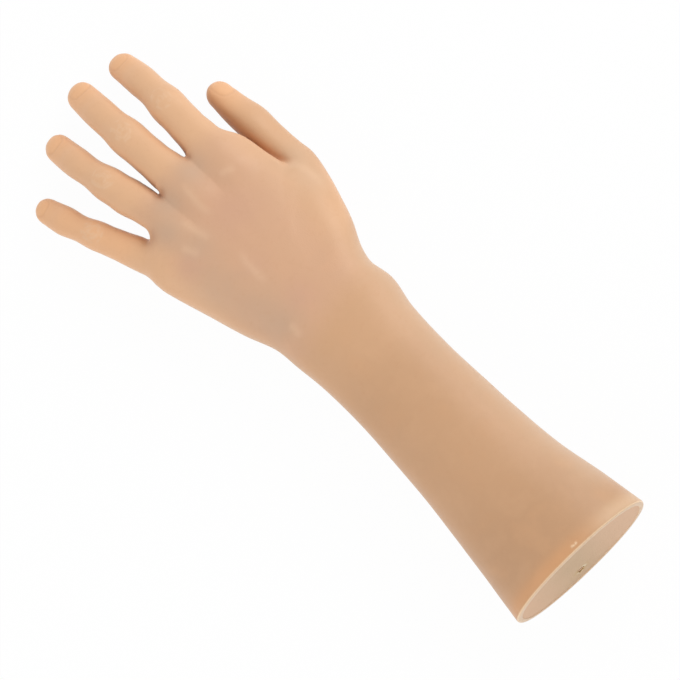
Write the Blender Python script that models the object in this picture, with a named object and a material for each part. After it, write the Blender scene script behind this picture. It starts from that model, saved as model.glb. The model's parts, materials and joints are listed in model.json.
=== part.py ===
"""A tattoo practice hand: a silicone left hand and forearm over a firm core and a bendable wire armature.

The hand lies palm down. Z points up, Y runs from the cut base of the forearm to the fingertips, and X points
to the thumb. The origin is on the surface that the hand lies on, under the middle of its box. The sizes below
count from the plane of the base instead, and the whole hand is moved to its origin at the end.
"""

import math
from dataclasses import dataclass, fields

import bmesh
import bpy
from mathutils import Matrix, Vector

MM = 0.001

# Clearances
FIT_GAP = 0.3 * MM
JOINT_GAP = 0.45 * MM

# Skin and core of the forearm and palm
SKIN_WALL = 3.6 * MM
RIM_RADIUS = 1.4 * MM
CORE_RECESS = 1.0 * MM
PALM_END = 300.0 * MM
PALM_ROUNDING = 8.0 * MM
# Each step's reach past the palm's end and its inset, as shares of the rounding
PALM_ROUNDING_STEPS = ((0.55, 0.3), (0.9, 0.8))
CORE_END = 286.0 * MM
KNUCKLE_LINE_PEAK = -5.0 * MM
RING_STEP = 15.0 * MM

# Armature
ROD_DIAMETER = 6.0 * MM
ROD_END = Vector((-3.0, 14.0, 23.0)) * MM
ROD_SEAT = 12.0 * MM
BLOCK_CENTRE = Vector((-13.0, 255.0, 29.0)) * MM
BLOCK_SIZE = Vector((56.0, 30.0, 10.0)) * MM
BLOCK_BEVEL = 2.0 * MM
WIRE_DIAMETER = 2.6 * MM
WIRE_END_MARGIN = 8.0 * MM
FERRULE_DIAMETER = 5.6 * MM
FERRULE_LENGTH = 15.0 * MM
FERRULE_SEAT = 10.0 * MM
BORE_OVERRUN = 2.0 * MM

# Fingers: a barrel is the round end that a hinge turns on, and its radius is a multiple of the half thickness
TIP_REST = 4.3 * MM
TIP_LENGTH = 8.0 * MM
BARREL_RATIO = 1.25
HOLLOW_LIP = 0.6 * MM
FINGER_SQUARENESS = 2.2
STUB_LENGTH = 30.0 * MM
STUB_SHOULDER = 16.5 * MM
STUB_TAPER = 0.8

# Facets
ARM_SIDES = 32
FINGER_SIDES = 16
WIRE_SIDES = 10
ROD_SIDES = 16
TIP_ANGLES = (25, 48, 68, 84)
SHARP_ANGLE = 40


@dataclass(frozen=True)
class Section:
    """A cross-section of the forearm and palm in millimetres.

    The power of its superellipse makes it squarer, and the bow draws its sides back along the knuckle line.
    """

    y: float
    left: float
    right: float
    bottom: float
    top: float
    square: float
    bow: float


SECTIONS = (
    Section(0.0, -46.6, 46.2, 0.0, 74.0, 2.15, 0.0),
    Section(28.0, -43.0, 41.4, 1.0, 70.0, 2.15, 0.0),
    Section(55.0, -39.9, 36.0, 2.5, 65.0, 2.15, 0.0),
    Section(83.0, -36.9, 33.0, 3.8, 60.5, 2.15, 0.0),
    Section(111.0, -35.2, 31.2, 4.8, 57.0, 2.2, 0.0),
    Section(138.0, -34.1, 29.8, 5.2, 54.5, 2.25, 0.0),
    Section(166.0, -34.8, 30.4, 5.0, 52.5, 2.3, 0.0),
    Section(186.0, -37.1, 33.3, 4.2, 50.5, 2.35, 0.0),
    Section(202.0, -39.1, 29.8, 2.6, 48.5, 2.4, 0.0),
    Section(221.0, -46.3, 29.8, 0.4, 47.0, 2.45, 0.0),
    Section(243.0, -52.1, 33.4, 0.0, 46.4, 2.5, 0.001),
    Section(265.0, -56.9, 35.8, 5.0, 45.4, 2.6, 0.003),
    Section(288.0, -59.9, 34.0, 12.0, 43.6, 2.7, 0.0055),
    Section(300.0, -61.0, 31.0, 14.5, 41.6, 2.7, 0.0065),
)


@dataclass(frozen=True)
class Finger:
    """A finger at rest, in millimetres and degrees, from its base hinge to its tip.

    The half widths and half thicknesses are those at the root, at each hinge in turn and near the tip.
    """

    name: str
    x: float
    y: float
    yaw: float
    pitch: float
    roll: float
    bends: tuple[float, ...]
    lengths: tuple[float, ...]
    half_widths: tuple[float, ...]
    half_thicknesses: tuple[float, ...]


FINGERS = (
    Finger("index", 10.3, 322.5, 3.2, -10.0, 0.0, (12.0, 8.0), (19.4, 22.8, 25.7),
           (9.6, 10.4, 10.2, 8.7, 8.0), (9.6, 9.6, 8.9, 7.6, 6.6)),
    Finger("middle", -15.3, 322.3, 4.0, -10.0, 0.0, (12.0, 8.0), (22.0, 22.4, 28.2),
           (9.8, 10.4, 10.3, 8.9, 8.3), (9.8, 9.9, 9.2, 7.8, 6.8)),
    Finger("ring", -39.0, 318.0, 9.6, -10.0, 0.0, (12.0, 8.0), (14.9, 24.4, 25.8),
           (9.6, 10.4, 9.6, 8.3, 7.8), (9.4, 9.5, 8.8, 7.5, 6.5)),
    Finger("little", -60.6, 303.7, 18.5, -8.0, 0.0, (10.0, 8.0), (15.1, 21.0, 22.0),
           (8.4, 8.4, 8.1, 8.0, 7.2), (8.6, 8.4, 7.7, 6.7, 5.9)),
)
THUMB = Finger("thumb", 38.5, 279.0, 0.4, -5.0, 35.0, (10.0,), (25.2, 33.6),
               (10.5, 9.8, 9.8, 7.9), (11.2, 9.4, 8.6, 6.6))
THUMB_REST = 2.2 * MM
THUMB_ROOT = 11.0 * MM


@dataclass(frozen=True)
class ThumbBall:
    """A cross-section of the ball of the thumb, in millimetres."""

    x: float
    y: float
    z: float
    half_width: float
    half_thickness: float


THUMB_BALL = (
    ThumbBall(12.0, 198.0, 26.5, 10.0, 14.0),
    ThumbBall(17.0, 210.0, 25.0, 12.0, 16.4),
    ThumbBall(23.0, 222.0, 23.5, 13.6, 17.5),
    ThumbBall(29.2, 241.0, 21.5, 14.0, 16.5),
    ThumbBall(34.1, 256.0, 19.0, 13.4, 14.0),
)
SEGMENT_NAMES = {3: ("proximal", "middle", "distal"), 2: ("proximal", "distal")}

# Where each finger's ferrule leaves the block's far face, as a share of its half width, and the thumb's
# ferrule its side
FERRULE_PLACES = {"index": 0.72, "middle": 0.2, "ring": -0.32, "little": -0.8}
THUMB_FERRULE_SHARE = -0.1


def clear_scene() -> None:
    """Remove every object."""
    for item in list(bpy.data.objects):
        bpy.data.objects.remove(item, do_unlink=True)


def make_material(name: str, colour: tuple[float, float, float], roughness: float,
                  metallic: float = 0.0) -> bpy.types.Material:
    """Return a Principled material."""
    material = bpy.data.materials.new(name)
    material.use_nodes = True
    shader = material.node_tree.nodes["Principled BSDF"]
    shader.inputs["Base Color"].default_value = (*colour, 1.0)
    shader.inputs["Roughness"].default_value = roughness
    shader.inputs["Metallic"].default_value = metallic
    return material


def smooth_value(places: list[float], values: list[float], at: float) -> float:
    """Read the smooth curve through values at rising places."""
    if at <= places[0]:
        return values[0]
    if at >= places[-1]:
        return values[-1]
    after = next(i for i, place in enumerate(places) if place > at)
    before = after - 1

    def slope(i: int) -> float:
        low, high = max(i - 1, 0), min(i + 1, len(places) - 1)
        return (values[high] - values[low]) / (places[high] - places[low])

    span = places[after] - places[before]
    t = (at - places[before]) / span
    return ((2 * t**3 - 3 * t**2 + 1) * values[before] + (t**3 - 2 * t**2 + t) * span * slope(before)
            + (3 * t**2 - 2 * t**3) * values[after] + (t**3 - t**2) * span * slope(after))


def section_at(y: float) -> Section:
    """Return the forearm's or palm's section at a distance y in metres from the base."""
    places = [section.y for section in SECTIONS]
    read = {
        field.name: smooth_value(places, [getattr(section, field.name) for section in SECTIONS], y / MM)
        for field in fields(Section)
    }
    return Section(**read)


def superellipse(half_width: float, half_height: float, square: float,
                 sides: int) -> list[tuple[float, float]]:
    """Return points round a superellipse, from its right end and upwards."""
    points = []
    for k in range(sides):
        angle = 2 * math.pi * k / sides
        c, s = math.cos(angle), math.sin(angle)
        points.append((half_width * math.copysign(abs(c) ** (2 / square), c),
                       half_height * math.copysign(abs(s) ** (2 / square), s)))
    return points


def loft(rings: list[list[Vector]], upright: bool = False) -> bmesh.types.BMesh:
    """Join rings of equal count into one closed mesh.

    Each end is closed by strips that run straight across the ring, or straight up it where upright is set.
    """
    mesh = bmesh.new()
    count = len(rings[0])
    rows = [[mesh.verts.new(point) for point in ring] for ring in rings]
    for row, following in zip(rows, rows[1:]):
        for k in range(count):
            n = (k + 1) % count
            mesh.faces.new((row[k], row[n], following[n], following[k]))
    half = count // 2
    mirror = 0 if upright else half
    strips = range(half) if upright else range(-(half // 2), half // 2)
    for row in (rows[0], rows[-1]):
        for k in strips:
            corners = [row[i % count] for i in (k, k + 1, mirror - k - 1, mirror - k)]
            mesh.faces.new(list(dict.fromkeys(corners)))
    bmesh.ops.recalc_face_normals(mesh, faces=mesh.faces)
    return mesh


def add_object(name: str, mesh: bmesh.types.BMesh, material: bpy.types.Material | None,
               place: Matrix = Matrix.Identity(4)) -> bpy.types.Object:
    """Turn a bmesh into a smooth shaded object."""
    data = bpy.data.meshes.new(name)
    mesh.to_mesh(data)
    mesh.free()
    data.shade_smooth()
    data.set_sharp_from_angle(angle=math.radians(SHARP_ANGLE))
    item = bpy.data.objects.new(name, data)
    if material is not None:
        data.materials.append(material)
    item.matrix_world = place
    bpy.context.scene.collection.objects.link(item)
    return item


def add_tool(name: str, mesh: bmesh.types.BMesh) -> bpy.types.Object:
    """Make an object that only shapes others."""
    item = add_object(name, mesh, None)
    item.hide_render = True
    item.display_type = "WIRE"
    return item


def combine(item: bpy.types.Object, operation: str, tools: list[bpy.types.Object],
            solver: str = "EXACT") -> None:
    """Add one Boolean for each tool."""
    for tool in tools:
        modifier = item.modifiers.new(f"{operation.lower()}_{tool.name}", "BOOLEAN")
        modifier.operation = operation
        modifier.solver = solver
        modifier.object = tool


def set_parent(item: bpy.types.Object, parent: bpy.types.Object) -> None:
    """Parent an object and keep its place."""
    place = item.matrix_basis.copy()
    world = parent.matrix_basis if parent.parent is None else parent["place"]
    item.parent = parent
    item.matrix_parent_inverse = Matrix(world).inverted()
    item.matrix_basis = place
    item["place"] = [list(row) for row in place]


def arm_ring(y: float, inset: float) -> list[Vector]:
    """Return the forearm's or palm's outline at y, drawn in by an inset and bowed to the knuckle line."""
    section = section_at(y)
    middle_x = (section.left + section.right) / 2 * MM
    middle_z = (section.bottom + section.top) / 2 * MM
    half_width = (section.right - section.left) / 2 * MM - inset
    half_height = (section.top - section.bottom) / 2 * MM - inset
    ring = []
    for across, up in superellipse(half_width, half_height, section.square, ARM_SIDES):
        x = middle_x + across
        bowed = section.bow / MM * (x - KNUCKLE_LINE_PEAK) ** 2
        ring.append(Vector((x, y - bowed, middle_z + up)))
    return ring


def shifted(ring: list[Vector], along: float) -> list[Vector]:
    """Return a ring moved along the forearm."""
    return [point + Vector((0, along, 0)) for point in ring]


def arm_rings(start: float, end: float, inset: float) -> list[list[Vector]]:
    """Return the forearm's and palm's rings from start to end, drawn in by an inset.

    Their stations in between are always the same, so that one loft nests in another.
    """
    stations = [RING_STEP * i for i in range(1, math.ceil(end / RING_STEP))]
    inner = [y for y in stations if start + RING_STEP / 4 < y < end - RING_STEP / 4]
    return [arm_ring(y, inset) for y in (start, *inner, end)]


def outer_form() -> bmesh.types.BMesh:
    """Return the whole forearm and palm, with a rounded rim and a rounded far edge."""
    rings = [arm_ring(0.0, RIM_RADIUS), *arm_rings(RIM_RADIUS, PALM_END, 0.0)]
    for reach, inset in PALM_ROUNDING_STEPS:
        rings.append(shifted(arm_ring(PALM_END, PALM_ROUNDING * inset), PALM_ROUNDING * reach))
    return loft(rings, upright=True)


def core_form(gap: float) -> bmesh.types.BMesh:
    """Return the core's form inside the skin."""
    return loft(arm_rings(CORE_RECESS, CORE_END, SKIN_WALL + gap), upright=True)


def cavity_form() -> bmesh.types.BMesh:
    """Return the hollow that the core fills, open at the base."""
    rings = arm_rings(CORE_RECESS, CORE_END + FIT_GAP, SKIN_WALL)
    rings.insert(0, shifted(rings[0], -2 * CORE_RECESS))
    return loft(rings, upright=True)


def finger_matrix(finger: Finger, height: float) -> Matrix:
    """Return the frame at a finger's base hinge: X across, Y along the finger, Z out of its nail."""
    turn = Matrix.Rotation(math.radians(finger.yaw), 4, "Z")
    turn @= Matrix.Rotation(math.radians(finger.pitch), 4, "X")
    turn @= Matrix.Rotation(math.radians(finger.roll), 4, "Y")
    return Matrix.Translation(Vector((finger.x * MM, finger.y * MM, height))) @ turn


def chain(finger: Finger, height: float) -> list[Matrix]:
    """Return the frame of each of a finger's segments, each at the hinge that it turns on."""
    frames = [finger_matrix(finger, height)]
    for length, bend in zip(finger.lengths, finger.bends):
        onward = Matrix.Translation(Vector((0, length * MM, 0)))
        frames.append(frames[-1] @ onward @ Matrix.Rotation(-math.radians(bend), 4, "X"))
    return frames


def resting_height(finger: Finger, rest: float) -> float:
    """Return the base hinge's height that brings the finger's end to its resting height."""
    end = chain(finger, 0.0)[-1] @ Vector((0, finger.lengths[-1] * MM, 0))
    return rest - end.z


def finger_ring(half_width: float, half_thickness: float, along: float) -> list[Vector]:
    """Return a flat ring of a finger in its own frame."""
    outline = superellipse(half_width, half_thickness, FINGER_SQUARENESS, FINGER_SIDES)
    return [Vector((across, along, up)) for across, up in outline]


def barrel_ring(half_width: float, half_thickness: float, hinge: float, radius: float) -> list[Vector]:
    """Return a ring that lies on a cylinder about a hinge."""
    outline = superellipse(half_width, half_thickness, FINGER_SQUARENESS, FINGER_SIDES)
    return [Vector((across, hinge + math.sqrt(radius**2 - up**2), up)) for across, up in outline]


def barrel_radius(finger: Finger, hinge: int) -> float:
    """Return the radius of the round end that a hinge turns on."""
    return finger.half_thicknesses[hinge + 1] * MM * BARREL_RATIO


def segment_mesh(finger: Finger, index: int) -> bmesh.types.BMesh:
    """Return one segment: hollow where it turns on the one before, round where the next one turns on it."""
    widths = [value * MM for value in finger.half_widths[index + 1:index + 3]]
    depths = [value * MM for value in finger.half_thicknesses[index + 1:index + 3]]
    length = finger.lengths[index] * MM
    start = barrel_radius(finger, index) + JOINT_GAP
    is_last = index == len(finger.lengths) - 1
    straight_end = length - TIP_LENGTH if is_last else length
    rings = [
        barrel_ring(widths[0], depths[0], 0.0, start),
        finger_ring(widths[0], depths[0], start + HOLLOW_LIP),
        finger_ring(widths[1], depths[1], straight_end),
    ]
    if is_last:
        for angle in TIP_ANGLES:
            turn = math.radians(angle)
            rings.append(finger_ring(widths[1] * math.cos(turn), depths[1] * math.cos(turn),
                                     straight_end + TIP_LENGTH * math.sin(turn)))
    else:
        rings.append(barrel_ring(widths[1], depths[1], length, barrel_radius(finger, index + 1)))
    return loft(rings)


def stub_mesh(finger: Finger, frame: Matrix) -> bmesh.types.BMesh:
    """Return the root of a finger in the palm, which ends in the round end that its base hinge turns on."""
    root_width, width = (value * MM for value in finger.half_widths[:2])
    root_depth, depth = (value * MM for value in finger.half_thicknesses[:2])
    rings = [
        finger_ring(root_width * STUB_TAPER, root_depth * STUB_TAPER, -STUB_LENGTH),
        finger_ring(root_width, root_depth, -STUB_SHOULDER),
        finger_ring(width, depth, 0.0),
        barrel_ring(width, depth, 0.0, barrel_radius(finger, 0)),
    ]
    return loft([[frame @ point for point in ring] for ring in rings])


def thumb_base_mesh(finger: Finger, frame: Matrix) -> bmesh.types.BMesh:
    """Return the ball of the thumb, from the wrist to the round end that the thumb turns on."""
    root_width, width = (value * MM for value in finger.half_widths[:2])
    root_depth, depth = (value * MM for value in finger.half_thicknesses[:2])
    turn = frame.to_3x3()
    rings = []
    for ball in THUMB_BALL:
        centre = Vector((ball.x, ball.y, ball.z)) * MM
        flat = finger_ring(ball.half_width * MM, ball.half_thickness * MM, 0.0)
        rings.append([centre + turn @ point for point in flat])
    own_rings = [
        finger_ring(root_width, root_depth, -THUMB_ROOT),
        finger_ring(width, depth, 0.0),
        barrel_ring(width, depth, 0.0, barrel_radius(finger, 0)),
    ]
    rings.extend([frame @ point for point in ring] for ring in own_rings)
    return loft(rings)


def tube_rings(path: list[Vector], radius: float, sides: int) -> list[list[Vector]]:
    """Return rings along a path, each square to the mean direction of the path there."""
    rings = []
    for i, point in enumerate(path):
        before = (point - path[i - 1]).normalized() if i > 0 else (path[1] - point).normalized()
        after = (path[i + 1] - point).normalized() if i < len(path) - 1 else before
        forward = (before + after).normalized()
        side = forward.cross(Vector((0, 0, 1))).normalized()
        up = side.cross(forward)
        # The half step turns a flat of the tube, not an edge, to each side, so that cuts meet no edge
        angles = [2 * math.pi * (k + 0.5) / sides for k in range(sides)]
        rings.append([point + side * (radius * math.cos(a)) + up * (radius * math.sin(a)) for a in angles])
    return rings


def extended(path: list[Vector], start: float, end: float) -> list[Vector]:
    """Return a path made longer at its start and end."""
    first = path[0] - (path[1] - path[0]).normalized() * start
    last = path[-1] + (path[-1] - path[-2]).normalized() * end
    return [first, *path[1:-1], last]


def bevelled_box(size: Vector, centre: Vector, bevel: float) -> bmesh.types.BMesh:
    """Return a box with its edges bevelled."""
    mesh = bmesh.new()
    bmesh.ops.create_cube(mesh, size=1.0, matrix=Matrix.Translation(centre) @ Matrix.Diagonal((*size, 1.0)))
    bmesh.ops.bevel(mesh, geom=mesh.edges[:], offset=bevel, segments=2, profile=0.5, affect="EDGES")
    return mesh


def ferrule_path(finger: Finger, hinge: Vector) -> list[Vector]:
    """Return the two ends of a ferrule, which points from its socket in the block to the finger's hinge."""
    if finger.name in FERRULE_PLACES:
        across = FERRULE_PLACES[finger.name] * BLOCK_SIZE.x / 2
        mouth = BLOCK_CENTRE + Vector((across, BLOCK_SIZE.y / 2, 0))
    else:
        mouth = BLOCK_CENTRE + Vector((BLOCK_SIZE.x / 2, THUMB_FERRULE_SHARE * BLOCK_SIZE.y / 2, 0))
    forward = (hinge - mouth).normalized()
    return [mouth - forward * FERRULE_SEAT, mouth + forward * (FERRULE_LENGTH - FERRULE_SEAT)]


def build_skins(frames: dict[str, list[Matrix]], channels: dict[str, bpy.types.Object],
                silicone: bpy.types.Material) -> None:
    """Make the palm and forearm skin and the fourteen segments."""
    palm = add_object("skin_palm_forearm", outer_form(), silicone)
    roots = [add_tool(f"root_{finger.name}", stub_mesh(finger, frames[finger.name][0])) for finger in FINGERS]
    roots.append(add_tool("root_thumb", thumb_base_mesh(THUMB, frames["thumb"][0])))
    # The exact solver leaves an open edge at the skin's thin rim, so this piece uses the manifold one
    combine(palm, "UNION", roots, "MANIFOLD")
    combine(palm, "DIFFERENCE", [add_tool("cavity", cavity_form()), *channels.values()], "MANIFOLD")
    for finger in (*FINGERS, THUMB):
        parent = palm
        for index, word in enumerate(SEGMENT_NAMES[len(finger.lengths)]):
            segment = add_object(f"{finger.name}_{word}_skin", segment_mesh(finger, index), silicone,
                                 frames[finger.name][index])
            set_parent(segment, parent)
            combine(segment, "DIFFERENCE", [channels[finger.name]])
            parent = segment


def build_armature(frames: dict[str, list[Matrix]], metal: bpy.types.Material, plastic: bpy.types.Material,
                   core_material: bpy.types.Material) -> dict[str, bpy.types.Object]:
    """Make the core, rod, block, ferrules and wires, and return each wire's channel."""
    rod_radius = ROD_DIAMETER / 2
    wire_radius = WIRE_DIAMETER / 2
    rod_path = [ROD_END, BLOCK_CENTRE + Vector((0, ROD_SEAT - BLOCK_SIZE.y / 2, 0))]
    add_object("armature_rod", loft(tube_rings(rod_path, rod_radius, ROD_SIDES)), metal)
    # The bore runs on past the rod's end and through the core's face, where it is the support hole
    bore_path = extended(rod_path, ROD_END.y + BORE_OVERRUN, FIT_GAP)
    rod_bore = add_tool("rod_bore", loft(tube_rings(bore_path, rod_radius + FIT_GAP, ROD_SIDES)))

    core = add_object("core_palm_forearm", core_form(FIT_GAP), core_material)
    block = add_object("armature_block", bevelled_box(BLOCK_SIZE, BLOCK_CENTRE, BLOCK_BEVEL), plastic)
    spread = Vector((FIT_GAP, FIT_GAP, FIT_GAP)) * 2
    pocket = add_tool("block_pocket", bevelled_box(BLOCK_SIZE + spread, BLOCK_CENTRE, BLOCK_BEVEL))
    channels, sockets = {}, []
    for finger in (*FINGERS, THUMB):
        own = frames[finger.name]
        ferrule = ferrule_path(finger, own[0].translation)
        outer = tube_rings(ferrule, FERRULE_DIAMETER / 2, WIRE_SIDES)
        sleeve = add_object(f"ferrule_{finger.name}", loft(outer), metal)
        wire_end = own[-1] @ Vector((0, finger.lengths[-1] * MM - WIRE_END_MARGIN, 0))
        route = [ferrule[0], *(frame.translation for frame in own), wire_end]
        add_object(f"wire_{finger.name}", loft(tube_rings(route, wire_radius, WIRE_SIDES)), metal)
        bore = tube_rings(extended(route, BORE_OVERRUN, FIT_GAP), wire_radius + FIT_GAP, WIRE_SIDES)
        combine(sleeve, "DIFFERENCE", [add_tool(f"bore_{finger.name}", loft(bore))])
        from_sleeve = [(ferrule[0] + ferrule[1]) / 2, *route[1:]]
        channel = tube_rings(extended(from_sleeve, 0.0, FIT_GAP), wire_radius + FIT_GAP, WIRE_SIDES)
        channels[finger.name] = add_tool(f"channel_{finger.name}", loft(channel))
        socket = tube_rings(extended(ferrule, FIT_GAP, FIT_GAP), FERRULE_DIAMETER / 2 + FIT_GAP, WIRE_SIDES)
        sockets.append(add_tool(f"socket_{finger.name}", loft(socket)))
    combine(block, "DIFFERENCE", [rod_bore, *sockets])
    combine(core, "DIFFERENCE", [rod_bore, pocket, *sockets, *channels.values()])
    return channels


def move_to_origin() -> None:
    """Move the hand, and what shapes it, onto its surface, with the middle of its box over the origin."""
    bpy.context.view_layer.update()
    depsgraph = bpy.context.evaluated_depsgraph_get()
    points = []
    for item in bpy.data.objects:
        if not item.hide_render:
            evaluated = item.evaluated_get(depsgraph)
            points.extend(evaluated.matrix_world @ vertex.co for vertex in evaluated.data.vertices)
    lowest = Vector(min(point[axis] for point in points) for axis in range(3))
    highest = Vector(max(point[axis] for point in points) for axis in range(3))
    middle = (lowest + highest) / 2
    shift = Vector((-middle.x, -middle.y, -lowest.z))
    for item in bpy.data.objects:
        if item.parent is None:
            item.location += shift


def main() -> None:
    """Build the hand."""
    clear_scene()
    silicone = make_material("skin_silicone", (0.74, 0.46, 0.28), 0.45)
    core_material = make_material("firm_core", (0.56, 0.43, 0.29), 0.7)
    metal = make_material("armature_metal", (0.62, 0.62, 0.64), 0.35, 1.0)
    plastic = make_material("armature_plastic", (0.08, 0.08, 0.09), 0.5)
    frames = {finger.name: chain(finger, resting_height(finger, TIP_REST)) for finger in FINGERS}
    frames["thumb"] = chain(THUMB, resting_height(THUMB, TIP_REST + THUMB_REST))
    channels = build_armature(frames, metal, plastic, core_material)
    build_skins(frames, channels, silicone)
    move_to_origin()


main()
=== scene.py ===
"""The looks of a tattoo practice hand: pigmented silicone skin over a firm core and a bendable wire armature.

The forms are worked out in the hand's own millimetres: Y counts from the cut base of the forearm to the
fingertips, X to the thumb and Z up out of the back of the hand. HandFrame moves them to the row frame.
"""

import json
import logging
import math
from dataclasses import dataclass, field
from enum import Enum

import bpy
import numpy as np
from mathutils import Matrix, Vector, noise


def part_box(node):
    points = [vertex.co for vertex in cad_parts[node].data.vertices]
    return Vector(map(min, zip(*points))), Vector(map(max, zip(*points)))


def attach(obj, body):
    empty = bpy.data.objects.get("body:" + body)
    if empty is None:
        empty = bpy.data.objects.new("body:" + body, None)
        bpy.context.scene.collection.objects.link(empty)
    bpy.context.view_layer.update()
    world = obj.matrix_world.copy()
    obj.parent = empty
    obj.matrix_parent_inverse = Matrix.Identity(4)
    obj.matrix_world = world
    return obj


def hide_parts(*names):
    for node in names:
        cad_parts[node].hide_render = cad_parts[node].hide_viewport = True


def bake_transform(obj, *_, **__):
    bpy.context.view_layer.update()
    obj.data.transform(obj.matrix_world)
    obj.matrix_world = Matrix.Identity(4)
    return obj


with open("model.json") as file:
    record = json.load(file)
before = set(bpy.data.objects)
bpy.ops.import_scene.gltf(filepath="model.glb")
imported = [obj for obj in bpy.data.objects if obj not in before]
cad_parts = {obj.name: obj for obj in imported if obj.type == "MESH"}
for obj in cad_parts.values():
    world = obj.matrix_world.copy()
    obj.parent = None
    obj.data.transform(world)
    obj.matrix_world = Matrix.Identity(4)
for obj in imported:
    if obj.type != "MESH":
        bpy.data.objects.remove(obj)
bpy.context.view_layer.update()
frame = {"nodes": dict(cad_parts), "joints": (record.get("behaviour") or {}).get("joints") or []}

MM = 0.001
FAR = 99.0
SHARP_ANGLE = math.radians(40)
LOG = logging.getLogger("practice_hand")
Array = np.ndarray
Pair = tuple[float, float]
Triple = tuple[float, float, float]
Line = tuple[Pair, ...]
Patch = tuple[float, float, float, float]


def smooth_curve(places: Array, values: Array, at: Array) -> Array:
    """Read the smooth curve through values at rising places.

    Args:
        places: The places, rising.
        values: The curve's value at each place.
        at: Where to read it.

    Returns:
        The curve's values, held level past both ends.
    """
    count = len(places)
    low = np.maximum(np.arange(count) - 1, 0)
    high = np.minimum(np.arange(count) + 1, count - 1)
    slopes = (values[high] - values[low]) / (places[high] - places[low])
    before = np.clip(np.searchsorted(places, at, side="right") - 1, 0, count - 2)
    span = (places[before + 1] - places[before]).astype(at.dtype)
    t = np.clip((at - places[before]) / span, 0.0, 1.0).astype(at.dtype)
    start, end = values[before].astype(at.dtype), values[before + 1].astype(at.dtype)
    rise, fall = slopes[before].astype(at.dtype), slopes[before + 1].astype(at.dtype)
    return ((2 * t**3 - 3 * t**2 + 1) * start + (t**3 - 2 * t**2 + t) * span * rise
            + (3 * t**2 - 2 * t**3) * end + (t**3 - t**2) * span * fall)


def soft_min(a: Array, b: Array, reach: Array | float) -> Array:
    """Return the smaller of two distances, rounded where they are within reach of each other."""
    mix = np.clip(0.5 + 0.5 * (b - a) / reach, 0.0, 1.0)
    return b * (1 - mix) + a * mix - reach * mix * (1 - mix)


def soft_max(a: Array, b: Array, reach: float) -> Array:
    """Return the larger of two distances, rounded where they are within reach of each other."""
    return -soft_min(-a, -b, reach)


def round_max(a: Array, b: Array, radius: float) -> Array:
    """Return the distance to what two solids share, with its edge rounded to a radius."""
    outside = np.sqrt(np.maximum(a + radius, 0.0) ** 2 + np.maximum(b + radius, 0.0) ** 2) - radius
    return np.where((a > -radius) & (b > -radius), outside, np.maximum(a, b))


def bell(offset: Array, width: float) -> Array:
    """Return a bell curve of an offset."""
    return np.exp(-((offset / width) ** 2))


def ease(low: float, high: float, at: Array) -> Array:
    """Return a smooth rise from 0 at low to 1 at high."""
    t = np.clip((at - low) / (high - low), 0.0, 1.0)
    return t * t * (3 - 2 * t)


def line_offset(points: Line, x: Array, y: Array, fineness: int = 8) -> tuple[Array, Array]:
    """Measure how far places lie from a line on the hand, seen from above.

    Args:
        points: The line's own points, as x and y.
        x: The places' x.
        y: The places' y.
        fineness: How many steps the line has for each of its points.

    Returns:
        The distance from the line, and how far along it the nearest point is, from 0 to 1.
    """
    knots = np.arange(len(points), dtype=float)
    steps = np.linspace(0.0, len(points) - 1.0, fineness * len(points))
    along_x = smooth_curve(knots, np.array([p[0] for p in points]), steps)
    along_y = smooth_curve(knots, np.array([p[1] for p in points]), steps)
    nearest = np.full(x.shape, np.inf)
    share = np.zeros(x.shape)
    for i in range(len(steps) - 1):
        run = np.array((along_x[i + 1] - along_x[i], along_y[i + 1] - along_y[i]))
        t = np.clip(((x - along_x[i]) * run[0] + (y - along_y[i]) * run[1]) / (run @ run), 0.0, 1.0)
        off = np.hypot(x - along_x[i] - t * run[0], y - along_y[i] - t * run[1])
        closer = off < nearest
        nearest = np.where(closer, off, nearest)
        share = np.where(closer, (i + t) / (len(steps) - 1), share)
    return nearest, share


@dataclass(frozen=True)
class ArmSection:
    """A cross-section of the forearm and palm.

    The power of its superellipse makes it squarer, and the bow draws its sides back along the knuckle line.
    """

    y: float
    left: float
    right: float
    bottom: float
    top: float
    square: float
    bow: float


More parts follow.
